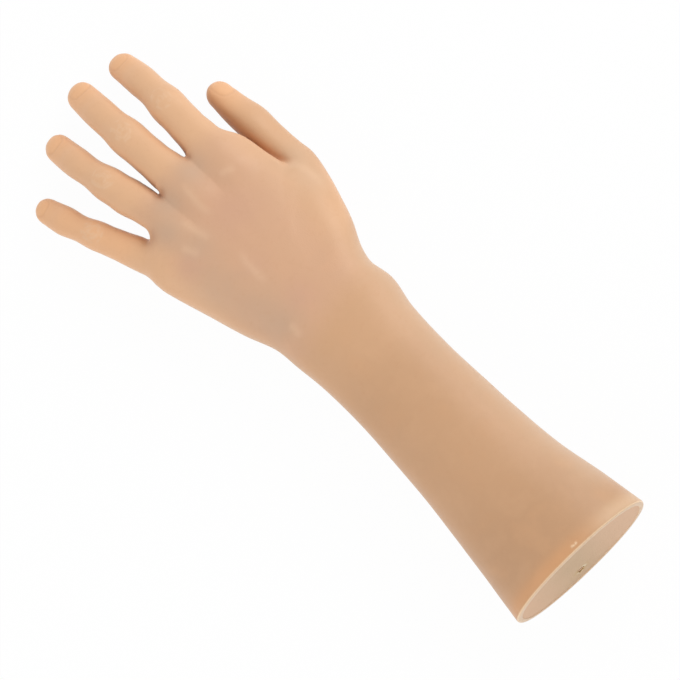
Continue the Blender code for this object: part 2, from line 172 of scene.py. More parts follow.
@dataclass(frozen=True)
class ArmForm:
    """The forearm and palm as a field of distances."""

    sections: tuple[ArmSection, ...] = (
        ArmSection(0.0, -46.6, 46.2, 0.0, 74.0, 2.15, 0.0),
        ArmSection(28.0, -43.0, 41.4, 1.0, 70.0, 2.15, 0.0),
        ArmSection(55.0, -39.9, 36.0, 2.5, 65.0, 2.15, 0.0),
        ArmSection(83.0, -36.9, 33.0, 3.8, 60.5, 2.15, 0.0),
        ArmSection(111.0, -35.2, 31.2, 4.8, 57.0, 2.2, 0.0),
        ArmSection(138.0, -34.1, 29.8, 5.2, 54.5, 2.25, 0.0),
        ArmSection(166.0, -34.8, 30.4, 5.0, 52.5, 2.3, 0.0),
        ArmSection(186.0, -37.1, 33.3, 4.2, 50.5, 2.35, 0.0),
        ArmSection(202.0, -39.1, 29.8, 2.6, 48.5, 2.4, 0.0),
        ArmSection(221.0, -46.3, 29.8, 0.4, 47.0, 2.45, 0.0),
        ArmSection(243.0, -52.1, 33.4, 0.0, 46.4, 2.5, 0.001),
        ArmSection(265.0, -56.9, 35.8, 5.0, 45.4, 2.6, 0.003),
        ArmSection(288.0, -60.5, 31.4, 12.0, 43.6, 2.7, 0.0055),
        ArmSection(300.0, -61.0, 29.4, 14.5, 41.6, 2.7, 0.0065),
    )
    knuckle_peak: float = 3.0
    palm_end: float = 308.0
    end_rounding: float = 11.0
    wall: float = 3.6
    rim_radius: float = 1.4
    lip_radius: float = 0.25
    hollow_depth: float = 9.0
    hollow_margin: float = 2.0

    def read(self, name: str, station: Array) -> Array:
        """Return one of the sections' sizes at each station."""
        places = np.array([section.y for section in self.sections])
        return smooth_curve(places, np.array([getattr(section, name) for section in self.sections]), station)

    def section(self, station: Array) -> tuple[Array, ...]:
        """Read the sections' shape at stations.

        Args:
            station: The stations.

        Returns:
            The centre's x and z, the half width, the half height and the power at each station.
        """
        names = ("left", "right", "bottom", "top", "square")
        left, right, bottom, top, power = (self.read(name, station) for name in names)
        return (left + right) / 2, (bottom + top) / 2, (right - left) / 2, (top - bottom) / 2, power

    def station(self, x: Array, y: Array) -> Array:
        """Find the station whose bowed section passes through each place.

        Args:
            x: The places' x.
            y: The places' y.

        Returns:
            The stations.
        """
        station = y + 0.0 * x
        for _ in range(3):
            station = y + self.read("bow", station) * (x - self.knuckle_peak) ** 2
        return station

    def side(self, x: Array, y: Array, z: Array) -> Array:
        """Measure how far places lie outside the side wall.

        Args:
            x: The places' x.
            y: The places' y.
            z: The places' z.

        Returns:
            The distances.
        """
        centre_x, centre_z, half_width, half_height, power = self.section(self.station(x, y))
        u = np.abs(x - centre_x) / half_width
        v = np.abs(z - centre_z) / half_height
        return superellipse_distance(((u, half_width), (v, half_height)), power)

    def distance(self, x: Array, y: Array, z: Array) -> Array:
        """Measure how far places lie outside the forearm and palm, whose base is open round the core.

        Args:
            x: The places' x.
            y: The places' y.
            z: The places' z.

        Returns:
            The distances.
        """
        side = self.side(x, y, z)
        ended = soft_max(side, self.station(x, y) - self.palm_end, self.end_rounding)
        rimmed = round_max(ended, -y + 0.0 * ended, self.rim_radius)
        hollow = np.maximum(side + self.wall, y - self.hollow_depth)
        near_base = y < self.hollow_depth + self.hollow_margin
        return np.where(near_base, soft_max(rimmed, -hollow, self.lip_radius), rimmed)

    def outline(self, y: float, inset: float, sides: int) -> Array:
        """Make points round the section at y, drawn in by an inset.

        Args:
            y: The section's place.
            inset: How far the points lie inside it.
            sides: How many points there are.

        Returns:
            The points.
        """
        shape = [size[0] for size in self.section(np.array([y]))]
        centre_x, centre_z, half_width, half_height, power = shape
        angle = np.linspace(0.0, 2 * math.pi, sides, endpoint=False)
        c, s = np.cos(angle), np.sin(angle)
        return np.stack([centre_x + (half_width - inset) * np.sign(c) * np.abs(c) ** (2 / power),
                         np.full(sides, y),
                         centre_z + (half_height - inset) * np.sign(s) * np.abs(s) ** (2 / power)], axis=1)


def superellipse_distance(terms: tuple[tuple[Array, Array], ...], power: Array | float) -> Array:
    """Return the distance outside a superellipse or superellipsoid.

    Args:
        terms: For each direction, the place as a share of the half size, and the half size.
        power: The superellipse's power.

    Returns:
        The distance, true near the surface.
    """
    tiny = 1e-6
    total = sum(np.maximum(share, tiny) ** power for share, _ in terms)
    reach = total ** (1 / power)
    slope = np.sqrt(sum((np.maximum(share, tiny) ** (power - 1) / size) ** 2 for share, size in terms))
    return (reach - 1) * total / (reach * slope)


@dataclass(frozen=True)
class Nail:
    """A fingernail, as moulded in the silicone."""

    length: float
    half_width: float
    margin: float = 0.8
    offset: float = 0.0

    def centre(self, digit_length: float) -> float:
        """Return how far along a digit of this length the nail's middle lies."""
        return digit_length - self.margin - self.length / 2


@dataclass(frozen=True)
class BallSection:
    """A cross-section of the ball of the thumb."""

    x: float
    y: float
    z: float
    half_width: float
    half_thickness: float


@dataclass(frozen=True)
class DigitForm:
    """A finger or the thumb, from its root in the palm to its tip.

    Its sizes are those at the root, at each hinge in turn and near the tip. Its own frame is at its base
    hinge: X across, Y along and Z out of the nail. A lift is added to its thickness above and below.
    """

    name: str
    x: float
    y: float
    yaw: float
    pitch: float
    roll: float
    bends: tuple[float, ...]
    lengths: tuple[float, ...]
    half_widths: tuple[float, ...]
    half_thicknesses: tuple[float, ...]
    rest: float
    nail: Nail
    zones: tuple[float, ...]
    shoulder: tuple[tuple[float, ...], ...]
    ball: tuple[BallSection, ...] = ()
    waist: float = 0.93
    sway: float = 0.0
    web: float = 7.0
    flare: Pair = (0.0, 0.0)
    web_span: Pair = (1.0, -11.0)
    cap: float = 10.0
    square: float = 2.2
    bend_reach: float = 5.0
    line_step: float = 0.5
    line_back: float = 90.0
    line_past: float = 12.0
    base_waist: float = 0.99
    knuckle_swell: float = 1.015
    knuckle_lift: Pair = (0.35, -0.45)
    shaft_lift: Pair = (-0.25, 0.55)
    pad_swell: float = 0.15
    pad_lift: Pair = (-0.3, 0.6)
    tip_lift: Pair = (-0.5, 0.4)
    least_reach: float = 10.0

    @property
    def length(self) -> float:
        """Return the length from the base hinge to the tip."""
        return sum(self.lengths)

    @property
    def hinges(self) -> list[float]:
        """Return how far along the digit each hinge lies."""
        return [sum(self.lengths[:i]) for i in range(len(self.lengths))]

    @property
    def seams(self) -> list[float]:
        """Return how far along the digit each seam between two of its pieces lies."""
        ends = zip(self.hinges, self.zones, self.hinges[1:], self.zones[1:])
        return [(hinge + zone + ahead - zone_ahead) / 2 for hinge, zone, ahead, zone_ahead in ends]

    @property
    def root(self) -> tuple[tuple[float, ...], ...]:
        """Work out the root's rows.

        Returns:
            How far along, across and up each row's centre is, its half width and its half thickness.
        """
        rows = []
        for ball in self.ball:
            across, along, up = (np.array((ball.x, ball.y, ball.z)) - self.origin()) @ self.turn()
            rows.append((float(along), float(across), float(up), ball.half_width, ball.half_thickness))
        return (*rows, *self.shoulder)

    def turn(self) -> Array:
        """Work out how the digit's frame is turned.

        Returns:
            The frame as the columns of a matrix.
        """
        turn = Matrix.Rotation(math.radians(self.yaw), 3, "Z")
        turn @= Matrix.Rotation(math.radians(self.pitch), 3, "X")
        turn @= Matrix.Rotation(math.radians(self.roll), 3, "Y")
        return np.array(turn)

    def centreline(self) -> tuple[Array, Array, Array, Array]:
        """Work out the digit's centreline in its own frame.

        Returns:
            How far along each of its steps is, their y and z, and the angle downwards there.
        """
        along = np.arange(-self.line_back, self.length + self.line_past, self.line_step)
        angle = np.zeros_like(along)
        for hinge, bend in zip(self.hinges[1:], self.bends):
            angle += math.radians(bend) * ease(hinge - self.bend_reach, hinge + self.bend_reach, along)
        y = np.concatenate([[along[0]], along[0] + np.cumsum(np.cos(angle[:-1]) * self.line_step)])
        z = np.concatenate([[0.0], -np.cumsum(np.sin(angle[:-1]) * self.line_step)])
        return along, y, z, angle

    def place(self, along: float) -> Array:
        """Find a point of the centreline.

        Args:
            along: How far along the digit it is.

        Returns:
            The point, in the hand's millimetres.
        """
        steps, y, z, _ = self.centreline()
        own = np.array((0.0, np.interp(along, steps, y), np.interp(along, steps, z)))
        return self.origin() + self.turn() @ own

    def origin(self) -> Array:
        """Find the base hinge's place, whose height brings the tip to its resting height.

        Returns:
            The place, in the hand's millimetres.
        """
        steps, y, z, _ = self.centreline()
        tip = np.array((0.0, np.interp(self.length, steps, y), np.interp(self.length, steps, z)))
        return np.array((self.x, self.y, self.rest - (self.turn() @ tip)[2]))

    def offsets(self, own: Array, along: Array) -> tuple[Array, Array]:
        """Measure how far points lie from places on the centreline.

        Args:
            own: The points, in the digit's own frame.
            along: How far along the digit each point's place is.

        Returns:
            How far ahead of its place and how far above the centreline each point lies.
        """
        steps, centre_y, centre_z, angle = self.centreline()
        lean = np.interp(along, steps, angle)
        off_y = own[:, 1] - np.interp(along, steps, centre_y)
        off_z = own[:, 2] - np.interp(along, steps, centre_z)
        ahead = off_y * np.cos(lean) - off_z * np.sin(lean)
        return ahead, off_z * np.cos(lean) + off_y * np.sin(lean)

    def coordinates(self, points: Array) -> tuple[Array, Array, Array]:
        """Find where points lie on the digit.

        Args:
            points: The points, in the hand's millimetres.

        Returns:
            How far along the digit, across it and above its centreline each point lies.
        """
        own = (points - self.origin()) @ self.turn()
        along = own[:, 1].copy()
        for _ in range(4):
            along += self.offsets(own, along)[0]
        swayed = self.sway * np.sin(math.pi * np.clip(along / self.length, 0.0, 1.0))
        swayed += (self.flare[1] - self.flare[0]) / 2 * self.at_web(along)
        across = own[:, 0] - self.root_curve(1, along) - swayed
        up = self.offsets(own, along)[1] - self.root_curve(2, along)
        return along, across, up

    def at_web(self, along: Array) -> Array:
        """Return 1 at the webs, easing to 0 just past the base hinge."""
        return ease(*self.web_span, along)

    def root_curve(self, column: int, along: Array) -> Array:
        """Read how far the root's centre is off the straight line back from the base hinge.

        Args:
            column: The column of the root's rows, 1 for across and 2 for up.
            along: Where to read it.

        Returns:
            The offsets, zero past the base hinge.
        """
        places = np.array([row[0] for row in self.root] + [0.0])
        values = np.array([row[column] for row in self.root] + [0.0])
        return smooth_curve(places, values, np.minimum(along, 0.0))

    def profile(self) -> tuple[Array, Array, Array, Array]:
        """Work out the digit's sizes along it.

        Returns:
            The stations, with the half width and the thickness above and below at each.
        """
        widths, depths, hinges = self.half_widths, self.half_thicknesses, self.hinges
        rows = [station_row(row[0], row[3], row[4], (0.0, 0.0)) for row in self.root]
        for i, hinge in enumerate(hinges):
            swell, lift, waist = 1.0, (0.0, 0.0), self.base_waist
            if i > 0:
                swell, lift, waist = self.knuckle_swell, self.knuckle_lift, self.waist
            rows.append(station_row(hinge, widths[i + 1] * swell, depths[i + 1], lift))
            if i < len(hinges) - 1:
                mean_width = (widths[i + 1] + widths[i + 2]) / 2
                mean_depth = (depths[i + 1] + depths[i + 2]) / 2
                middle = hinge + self.lengths[i] / 2
                rows.append(station_row(middle, mean_width * waist, mean_depth, self.shaft_lift))
        tip = self.length - self.cap
        pad_width, pad_depth = (widths[-2] + widths[-1]) / 2 + self.pad_swell, (depths[-2] + depths[-1]) / 2
        rows.append(station_row((hinges[-1] + tip) / 2, pad_width, pad_depth, self.pad_lift))
        rows.append(station_row(tip, widths[-1], depths[-1], self.tip_lift))
        places, width, above, below = np.array(rows).T
        return places, width, above, below

    def distance(self, points: Array) -> Array:
        """Measure how far points lie outside the digit.

        Args:
            points: The points, in the hand's millimetres.

        Returns:
            The distances.
        """
        along, across, up = self.coordinates(points)
        places, width, above, below = self.profile()
        half_width = smooth_curve(places, width, along) + sum(self.flare) / 2 * self.at_web(along)
        half_height = np.where(up > 0, smooth_curve(places, above, along), smooth_curve(places, below, along))
        tip = np.clip((along - (self.length - self.cap)) / self.cap, 0.0, None)
        tail = np.clip((places[0] - along) / self.cap, 0.0, None)
        ends = (np.maximum(tip, tail), np.full_like(along, self.cap))
        terms = ((np.abs(across) / half_width, half_width), (np.abs(up) / half_height, half_height), ends)
        return superellipse_distance(terms, self.square)

    def box(self, margin: float) -> tuple[Array, Array]:
        """Find a box round the digit and its root.

        Args:
            margin: How far the box is outside them.

        Returns:
            Its lowest and its highest corner.
        """
        start = min(row[0] for row in self.root)
        line = np.array([self.place(along) for along in np.linspace(start, self.length, 12)])
        root_reach = max(row[3] + abs(row[1]) for row in self.root)
        widest = max(max(self.half_widths), root_reach, self.least_reach)
        return line.min(axis=0) - widest - margin, line.max(axis=0) + widest + margin


def station_row(place: float, half_width: float, half_thickness: float, lift: Pair) -> tuple[float, ...]:
    """Return a station of a digit: its place, its half width, and its thickness above and below."""
    return place, half_width, half_thickness + lift[0], half_thickness + lift[1]


def plain_root(shoulder: float, half_width: float, half_height: float, back: float = 34.0,
               narrowed: Pair = (0.9, 0.92)) -> tuple[tuple[float, ...], ...]:
    """Return a finger's root, which runs straight back from its base hinge into the palm."""
    end = (-back, 0.0, 0.0, half_width * narrowed[0], half_height * narrowed[1])
    return (end, (-shoulder, 0.0, 0.0, half_width, half_height))


FINGERS = (
    DigitForm("index", 10.3, 322.5, 3.2, -10.0, 0.0, (12.0, 8.0), (19.4, 22.8, 25.7),
              (9.6, 10.4, 10.2, 8.7, 8.0), (9.6, 9.6, 8.9, 7.6, 6.6), 4.3,
              Nail(11.5, 5.6), (6.5, 7.0, 5.0), plain_root(16.5, 9.6, 9.6), waist=0.925, sway=1.6,
              web=8.5, flare=(1.6, 1.0)),
    DigitForm("middle", -15.3, 322.3, 4.0, -10.0, 0.0, (12.0, 8.0), (22.0, 22.4, 28.2),
              (9.8, 10.4, 10.3, 8.9, 8.3), (9.8, 9.9, 9.2, 7.8, 6.8), 4.3,
              Nail(12.4, 6.0, offset=1.6), (6.5, 7.0, 5.0), plain_root(16.5, 9.8, 9.8), waist=0.95, sway=-0.6,
              web=7.5, flare=(0.8, 1.6)),
    DigitForm("ring", -39.0, 318.0, 9.6, -10.0, 0.0, (12.0, 8.0), (14.9, 24.4, 25.8),
              (9.6, 10.4, 9.6, 8.3, 7.8), (9.4, 9.5, 8.8, 7.5, 6.5), 4.3,
              Nail(11.6, 5.6), (5.6, 6.4, 5.0), plain_root(16.5, 9.6, 9.4), waist=0.91, sway=-1.3,
              web=6.5, flare=(-1.1, 0.8)),
    DigitForm("little", -60.6, 303.7, 18.5, -8.0, 0.0, (10.0, 8.0), (15.1, 21.0, 22.0),
              (8.4, 8.4, 8.1, 8.0, 7.2), (8.6, 8.4, 7.7, 6.7, 5.9), 4.3,
              Nail(9.6, 4.8), (5.0, 5.6, 5.0), plain_root(16.5, 8.4, 8.6), waist=0.91, sway=-1.3,
              web=5.0, flare=(0.0, 1.2)),
)

THUMB_BALL = (
    BallSection(12.0, 198.0, 26.5, 10.0, 14.0),
    BallSection(17.0, 210.0, 25.0, 12.0, 16.4),
    BallSection(23.0, 222.0, 23.5, 13.6, 17.5),
    BallSection(29.2, 241.0, 21.5, 14.0, 16.5),
    BallSection(34.1, 256.0, 19.0, 13.4, 14.0),
)
THUMB = DigitForm("thumb", 38.5, 279.0, 0.4, -5.0, 35.0, (10.0,), (25.2, 33.6),
                  (10.5, 9.8, 10.1, 7.9), (11.2, 9.4, 8.6, 6.6), 6.5, Nail(14.0, 5.5, offset=1.0), (5.0, 5.2),
                  ((-11.0, 0.0, 0.0, 10.5, 11.2),), THUMB_BALL, sway=-1.3, web=12.0)
DIGITS = (*FINGERS, THUMB)
SEGMENT_NAMES = {3: ("proximal", "middle", "distal"), 2: ("proximal", "distal")}


class Slot(Enum):
    """The record's material slots."""

    SKIN = "silicone_skin"
    CORE = "firm_core"
    PLASTIC = "armature_plastic"
    ROD = "armature_rod"
    WIRE = "armature_wire"


@dataclass(frozen=True)
class HandFrame:
    """The move from the hand's millimetres to the row frame's metres."""

    shift: Triple

    @classmethod
    def from_joint(cls, digit: DigitForm) -> "HandFrame":
        """Work the move out from where a digit's base hinge lies in the record.

        Args:
            digit: The digit whose base hinge is compared.

        Returns:
            The frame.
        """
        joint = next(joint for joint in frame["joints"] if joint["name"] == f"{digit.name}_base_bend")
        return cls(tuple(np.array(joint["pos_m"]) - digit.origin() * MM))

    def row(self, points: Array) -> Array:
        """Return points in the row frame."""
        return points * MM + np.array(self.shift)

    def hand(self, points: Array) -> Array:
        """Return points of the row frame in the hand's millimetres."""
        return (points - np.array(self.shift)) / MM


@dataclass(frozen=True)
class SkinForm:
    """The whole skin as a field of distances: the arm, with each digit grown out of it."""

    arm: ArmForm = ArmForm()
    digits: tuple[DigitForm, ...] = DIGITS
    web_blend: float = 1.5
    crease_blend: float = 2.0
    crease_start: Pair = (262.0, 277.0)
    margin: float = 13.0

    def join(self, digit: DigitForm, y: Array, arm: Array, skin: Array, own: Array) -> Array:
        """Grow a digit out of the skin so far.

        The crease where the thumb dips under the palm's edge is sharper than the one where it leaves
        the wrist.

        Args:
            digit: The digit.
            y: How far along the hand the points are.
            arm: The distance outside the arm.
            skin: The distance outside the arm and the digits so far.
            own: The distance outside the digit.

        Returns:
            The distance outside them all.
        """
        web = digit.web
        if digit.name == "thumb":
            web = web + (self.crease_blend - web) * ease(*self.crease_start, y)
        grown = soft_min(arm, own, web)
        reach = np.clip(0.5 * np.minimum(arm - skin, arm - grown), 1e-3, self.web_blend)
        return soft_min(skin, grown, reach)

    def distance(self, points: Array) -> Array:
        """Return how far outside the skin each point lies.

        Args:
            points: Points in the hand's millimetres.

        Returns:
            The distances, below zero inside.
        """
        arm = self.arm.distance(points[:, 0], points[:, 1], points[:, 2])
        skin = arm.copy()
        for digit in self.digits:
            low, high = digit.box(self.margin)
            near = np.flatnonzero(np.all((points > low) & (points < high), axis=1))
            own = digit.distance(points[near])
            skin[near] = self.join(digit, points[near, 1], arm[near], skin[near], own)
        return skin

    def sample(self, places: tuple[Array, Array, Array]) -> Array:
        """Return the distances on a lattice.

        Args:
            places: The lattice's places along x, y and z.

        Returns:
            The distances, indexed by x, y and z.
        """
        x, y, z = places
        arm = self.arm.distance(x[:, None, None], y[None, :, None], z[None, None, :])
        skin = arm.copy()
        for digit in self.digits:
            low, high = digit.box(self.margin)
            part = tuple(slice(*np.searchsorted(axis, (low[i], high[i]))) for i, axis in enumerate(places))
            block = np.stack(np.meshgrid(x[part[0]], y[part[1]], z[part[2]], indexing="ij"), axis=-1)
            own = digit.distance(block.reshape(-1, 3)).reshape(block.shape[:3])
            skin[part] = self.join(digit, block[..., 1], arm[part], skin[part], own)
        return skin


def graded(*spans: Triple) -> Array:
    """Return rising places, spaced by each span's own step."""
    return np.concatenate([np.arange(start, end, step) for start, end, step in spans])


def surface_net(values: Array, places: tuple[Array, Array, Array]) -> tuple[Array, Array]:
    """Find the surface where a lattice's values pass through zero.

    Args:
        values: The values, indexed by x, y and z.
        places: The lattice's places along x, y and z.

    Returns:
        The surface's points, and its quads as indices of them, facing the side above zero.
    """
    inside = values < 0
    cells = tuple(size - 1 for size in values.shape)
    corners = [(i, j, k) for i in (0, 1) for j in (0, 1) for k in (0, 1)]
    count = np.zeros(cells, np.uint8)
    for i, j, k in corners:
        count += inside[i:i + cells[0], j:j + cells[1], k:k + cells[2]]
    crossed = (count > 0) & (count < len(corners))
    cell = np.argwhere(crossed)
    number = np.full(cells, -1, np.int64)
    number[crossed] = np.arange(len(cell))
    total, hits = np.zeros((len(cell), 3)), np.zeros(len(cell))
    at = {corner: cell + np.array(corner) for corner in corners}
    where = {corner: np.stack([places[i][at[corner][:, i]] for i in range(3)], axis=1) for corner in corners}
    value = {corner: values[tuple(at[corner].T)] for corner in corners}
    for a in corners:
        for axis in (i for i in range(3) if a[i] == 0):
            b = tuple(1 if i == axis else a[i] for i in range(3))
            cut = np.flatnonzero((value[a] < 0) != (value[b] < 0))
            share = value[a][cut] / (value[a][cut] - value[b][cut])
            total[cut] += where[a][cut] + (where[b][cut] - where[a][cut]) * share[:, None]
            hits[cut] += 1
    quads = []
    for axis in range(3):
        low = np.take(inside, range(values.shape[axis] - 1), axis)
        high = np.take(inside, range(1, values.shape[axis]), axis)
        u, v = (axis + 1) % 3, (axis + 2) % 3
        edge = np.argwhere(low != high)
        edge = edge[(edge[:, u] > 0) & (edge[:, v] > 0) & (edge[:, u] < cells[u]) & (edge[:, v] < cells[v])]
        back_u, back_v = np.eye(3, dtype=int)[u], np.eye(3, dtype=int)[v]
        around = [number[tuple((edge - step).T)] for step in (0 * back_u, back_u, back_u + back_v, back_v)]
        ring = np.stack(around, axis=1)
        turned = ~low[tuple(edge.T)]
        ring[turned] = ring[turned][:, ::-1]
        quads.append(ring)
    return total / hits[:, None], np.concatenate(quads)


def vertex_normals(points: Array, quads: Array) -> Array:
    """Work out each point's normal, the mean of its faces' normals weighed by area.

    Args:
        points: The surface's points.
        quads: Its quads.

    Returns:
        The normals.
    """
    across = np.cross(points[quads[:, 2]] - points[quads[:, 0]], points[quads[:, 3]] - points[quads[:, 1]])
    normals = np.zeros_like(points)
    for corner in range(4):
        for axis in range(3):
            normals[:, axis] += np.bincount(quads[:, corner], across[:, axis], len(points))
    return normals / np.maximum(np.linalg.norm(normals, axis=1, keepdims=True), 1e-12)


def neighbour_mean(points: Array, quads: Array) -> Array:
    """Work out the mean of each point's neighbours along the edges.

    Args:
        points: The surface's points.
        quads: Its quads.

    Returns:
        The means.
    """
    total, count = np.zeros_like(points), np.zeros(len(points))
    for corner in range(4):
        here, there = quads[:, corner], quads[:, (corner + 1) % 4]
        for a, b in ((here, there), (there, here)):
            count += np.bincount(a, minlength=len(points))
            for axis in range(3):
                total[:, axis] += np.bincount(a, points[b, axis], len(points))
    return total / np.maximum(count, 1)[:, None]


def part_of(quads: Array, chosen: Array, count: int) -> tuple[Array, Array]:
    """Take some of a surface's quads.

    Args:
        quads: The surface's quads.
        chosen: True for each quad that is taken.
        count: How many points the surface has.

    Returns:
        The indices of the points that the taken quads use, and the quads as indices of those.
    """
    taken = quads[chosen]
    used = np.unique(taken)
    number = np.full(count, -1, np.int64)
    number[used] = np.arange(len(used))
    return used, number[taken]


def fit_to_form(points: Array, quads: Array, form: SkinForm, rounds: int, evening: float = 0.6,
                furthest: float = 0.4) -> Array:
    """Even the points out and bring them onto the form's own surface.

    Args:
        points: The surface's points.
        quads: Its quads.
        form: The form.
        rounds: How often to do it.
        evening: How much of the way to its neighbours' mean each point goes.
        furthest: How far a point goes towards the form at once.

    Returns:
        The points on the surface.
    """
    for _ in range(rounds):
        normals = vertex_normals(points, quads)
        move = evening * (neighbour_mean(points, quads) - points)
        points = points + move - normals * np.sum(move * normals, axis=1, keepdims=True)
        for _ in range(2):
            off = np.clip(form.distance(points), -furthest, furthest)
            points = points - normals * off[:, None]
    return points


@dataclass(frozen=True)
class SkinSpot:
    """Where the skin's points lie on one digit, and how much they belong to it."""

    digit: DigitForm
    near: Array
    along: Array
    across: Array
    up: Array
    gap: Array
    own_span: Pair = (0.8, 2.6)
    turned_span: Pair = (0.0, 0.55)

    @property
    def belongs(self) -> Array:
        """Return 1 on the digit's own skin, easing to 0 on its neighbours."""
        return 1 - ease(*self.own_span, self.gap)

    @property
    def share(self) -> Array:
        """Return how far across the digit each point lies, as a share of its half width."""
        places, width, _, _ = self.digit.profile()
        return self.across / smooth_curve(places, width, self.along)

    @property
    def back(self) -> Array:
        """Return 1 on the digit's back, easing to 0 on its palm side."""
        places, _, above, _ = self.digit.profile()
        return ease(*self.turned_span, self.up / smooth_curve(places, above, self.along))

    @property
    def front(self) -> Array:
        """Return 1 on the digit's palm side, easing to 0 on its back."""
        places, _, _, below = self.digit.profile()
        return ease(*self.turned_span, -self.up / smooth_curve(places, below, self.along))


@dataclass(frozen=True)
class SkinRelief:
    """The skin's wrinkles, nails, knuckles, tendons, veins and creases, as sizes in millimetres."""

    knuckle_rings: tuple[float, ...] = (1.7, 3.6, 5.4)
    ring_height: float = 0.09
    ring_width: float = 0.75
    ring_squash: float = 1.15
    ring_reach: float = 9.0
    ragged_size: float = 3.2
    ragged_depth: float = 1.1
    broken_scale: float = 1.3
    broken_span: Pair = (-0.35, 0.15)
    tip_wrinkles: tuple[float, ...] = (-1.7, -0.2, 1.4)
    wrinkle_depth: float = 0.05
    wrinkle_width: float = 0.6
    wrinkle_curve: float = 0.55
    swell_height: float = 0.3
    swell_width: float = 5.0
    joint_shifts: tuple[float, ...] = (-2.0, 0.0, 0.0)
    joint_depth: float = 0.5
    joint_width: float = 0.8
    nail_powers: Triple = (3.2, 2.6, 2.9)
    plate_height: float = 0.10
    groove_depth: float = 0.09
    groove_width: float = 0.65
    fold_height: float = 0.10
    fold_at: float = 1.3
    knuckle_at: float = -27.0
    thumb_knuckle_at: float = -10.0
    knuckle_height: float = 0.35
    knuckle_radius: float = 7.5
    knuckle_squash: float = 0.85
    thumb_knuckle_share: float = 0.75
    tendon_root: Pair = (-6.0, 222.0)
    tendon_bow: float = 1.02
    tendon_height: float = 0.12
    tendon_width: float = 2.6
    streak_height: float = 0.11
    streak_width: float = 2.3
    streaks: tuple[Line, ...] = (
        ((3.0, 288.5), (8.5, 287.5), (14.0, 284.0)),
        ((-13.4, 302.0), (-14.0, 292.0), (-14.5, 283.0), (-12.5, 273.0)),
        ((-28.0, 287.0), (-25.5, 276.0), (-22.5, 264.0)),
        ((-38.0, 276.0), (-35.5, 270.0), (-32.5, 263.0)),
        ((-16.5, 252.0), (-17.8, 239.0), (-17.3, 225.0)),
        ((42.5, 286.0), (38.0, 270.0), (39.5, 262.0), (41.2, 252.0), (39.5, 240.0)),
        ((-25.0, 203.0), (-23.5, 198.0), (-25.5, 191.0)),
    )
    palm_lines: tuple[Line, ...] = (
        ((32.0, 287.0), (14.0, 280.0), (2.0, 262.0), (-2.0, 240.0), (2.0, 218.0)),
        ((30.0, 290.0), (10.0, 282.0), (-14.0, 270.0), (-38.0, 262.0)),
        ((-4.0, 303.0), (-18.0, 294.0), (-38.0, 285.0), (-60.0, 281.0)),
    )
    palm_line_depth: float = 0.8
    palm_line_width: float = 0.9
    palm_middle: Pair = (-10.0, 262.0)
    palm_hollow: float = 3.0
    palm_radius: float = 24.0
    palm_stretch: float = 1.1
    wrist_lines: tuple[float, ...] = (196.0, 203.0)
    wrist_line_depth: float = 0.4
    wrist_line_bow: float = 0.003
    wrist_line_end: Pair = (34.0, 24.0)
    wrist_bone: Pair = (-27.0, 190.0)
    wrist_bone_radius: float = 13.0
    flake: Line = ((2.0, 3.3), (3.6, 2.9), (4.9, 3.2))
    flake_height: float = 0.5
    flake_width: float = 0.55
    flake_break: Pair = (0.55, 0.12)
    flake_corner: Pair = (8.0, 60.0)
    grain_height: float = 0.08
    grain_size: float = 12.0

    def digit_height(self, spot: SkinSpot) -> Array:
        """Return the relief on one digit.

        Args:
            spot: Where the points lie on it.

        Returns:
            The heights.
        """
        digit, along, share = spot.digit, spot.along, spot.share
        height = np.zeros_like(along)
        hinges = digit.hinges
        flat = np.clip(1 - share**2, 0.0, 1.0)
        for i, hinge in enumerate(hinges[1:]):
            is_last = i == len(hinges) - 2
            if is_last:
                for line in self.tip_wrinkles:
                    off = along - hinge - line * (1 - self.wrinkle_curve * share**2)
                    height -= self.wrinkle_depth * bell(off, self.wrinkle_width) * spot.back * flat
            else:
                height += self.ring_height * self.knuckle_ring(spot, hinge)
                height += self.swell_height * bell(along - hinge, self.swell_width) * spot.back * flat
        for hinge, shift in zip(hinges, self.joint_shifts):
            height -= self.joint_depth * bell(along - hinge - shift, self.joint_width) * spot.front
        height += self.nail_height(spot)
        return height * spot.belongs

    def knuckle_ring(self, spot: SkinSpot, hinge: float) -> Array:
        """Return how much each point lies on one of the faint rings on the back of a knuckle.

        Args:
            spot: Where the points lie on the digit.
            hinge: How far along the digit the knuckle is.

        Returns:
            From 0 to about 1.
        """
        off = np.hypot(spot.along - hinge, self.ring_squash * spot.across)
        found = np.zeros_like(off)
        size = self.ragged_size
        for i in np.flatnonzero((off < self.ring_reach) & (spot.up > 0)):
            place = Vector((spot.along[i] / size, spot.across[i] / size, hinge + spot.digit.x))
            ragged = off[i] + self.ragged_depth * noise.noise(place)
            broken = ease(*self.broken_span, noise.noise(self.broken_scale * place))
            found[i] = sum(bell(ragged - ring, self.ring_width) for ring in self.knuckle_rings) * broken
        return found * spot.back

    def nail_border(self, spot: SkinSpot) -> Array:
        """Measure how far points lie outside the border of a nail.

        Args:
            spot: Where the points lie on the nail's digit.

        Returns:
            The distances.
        """
        nail = spot.digit.nail
        across = np.abs(spot.across - nail.offset) / nail.half_width
        along = np.abs(spot.along - nail.centre(spot.digit.length)) / (nail.length / 2)
        power_across, power_along, power = self.nail_powers
        reach = (across**power_across + along**power_along) ** (1 / power)
        return (reach - 1) * nail.half_width

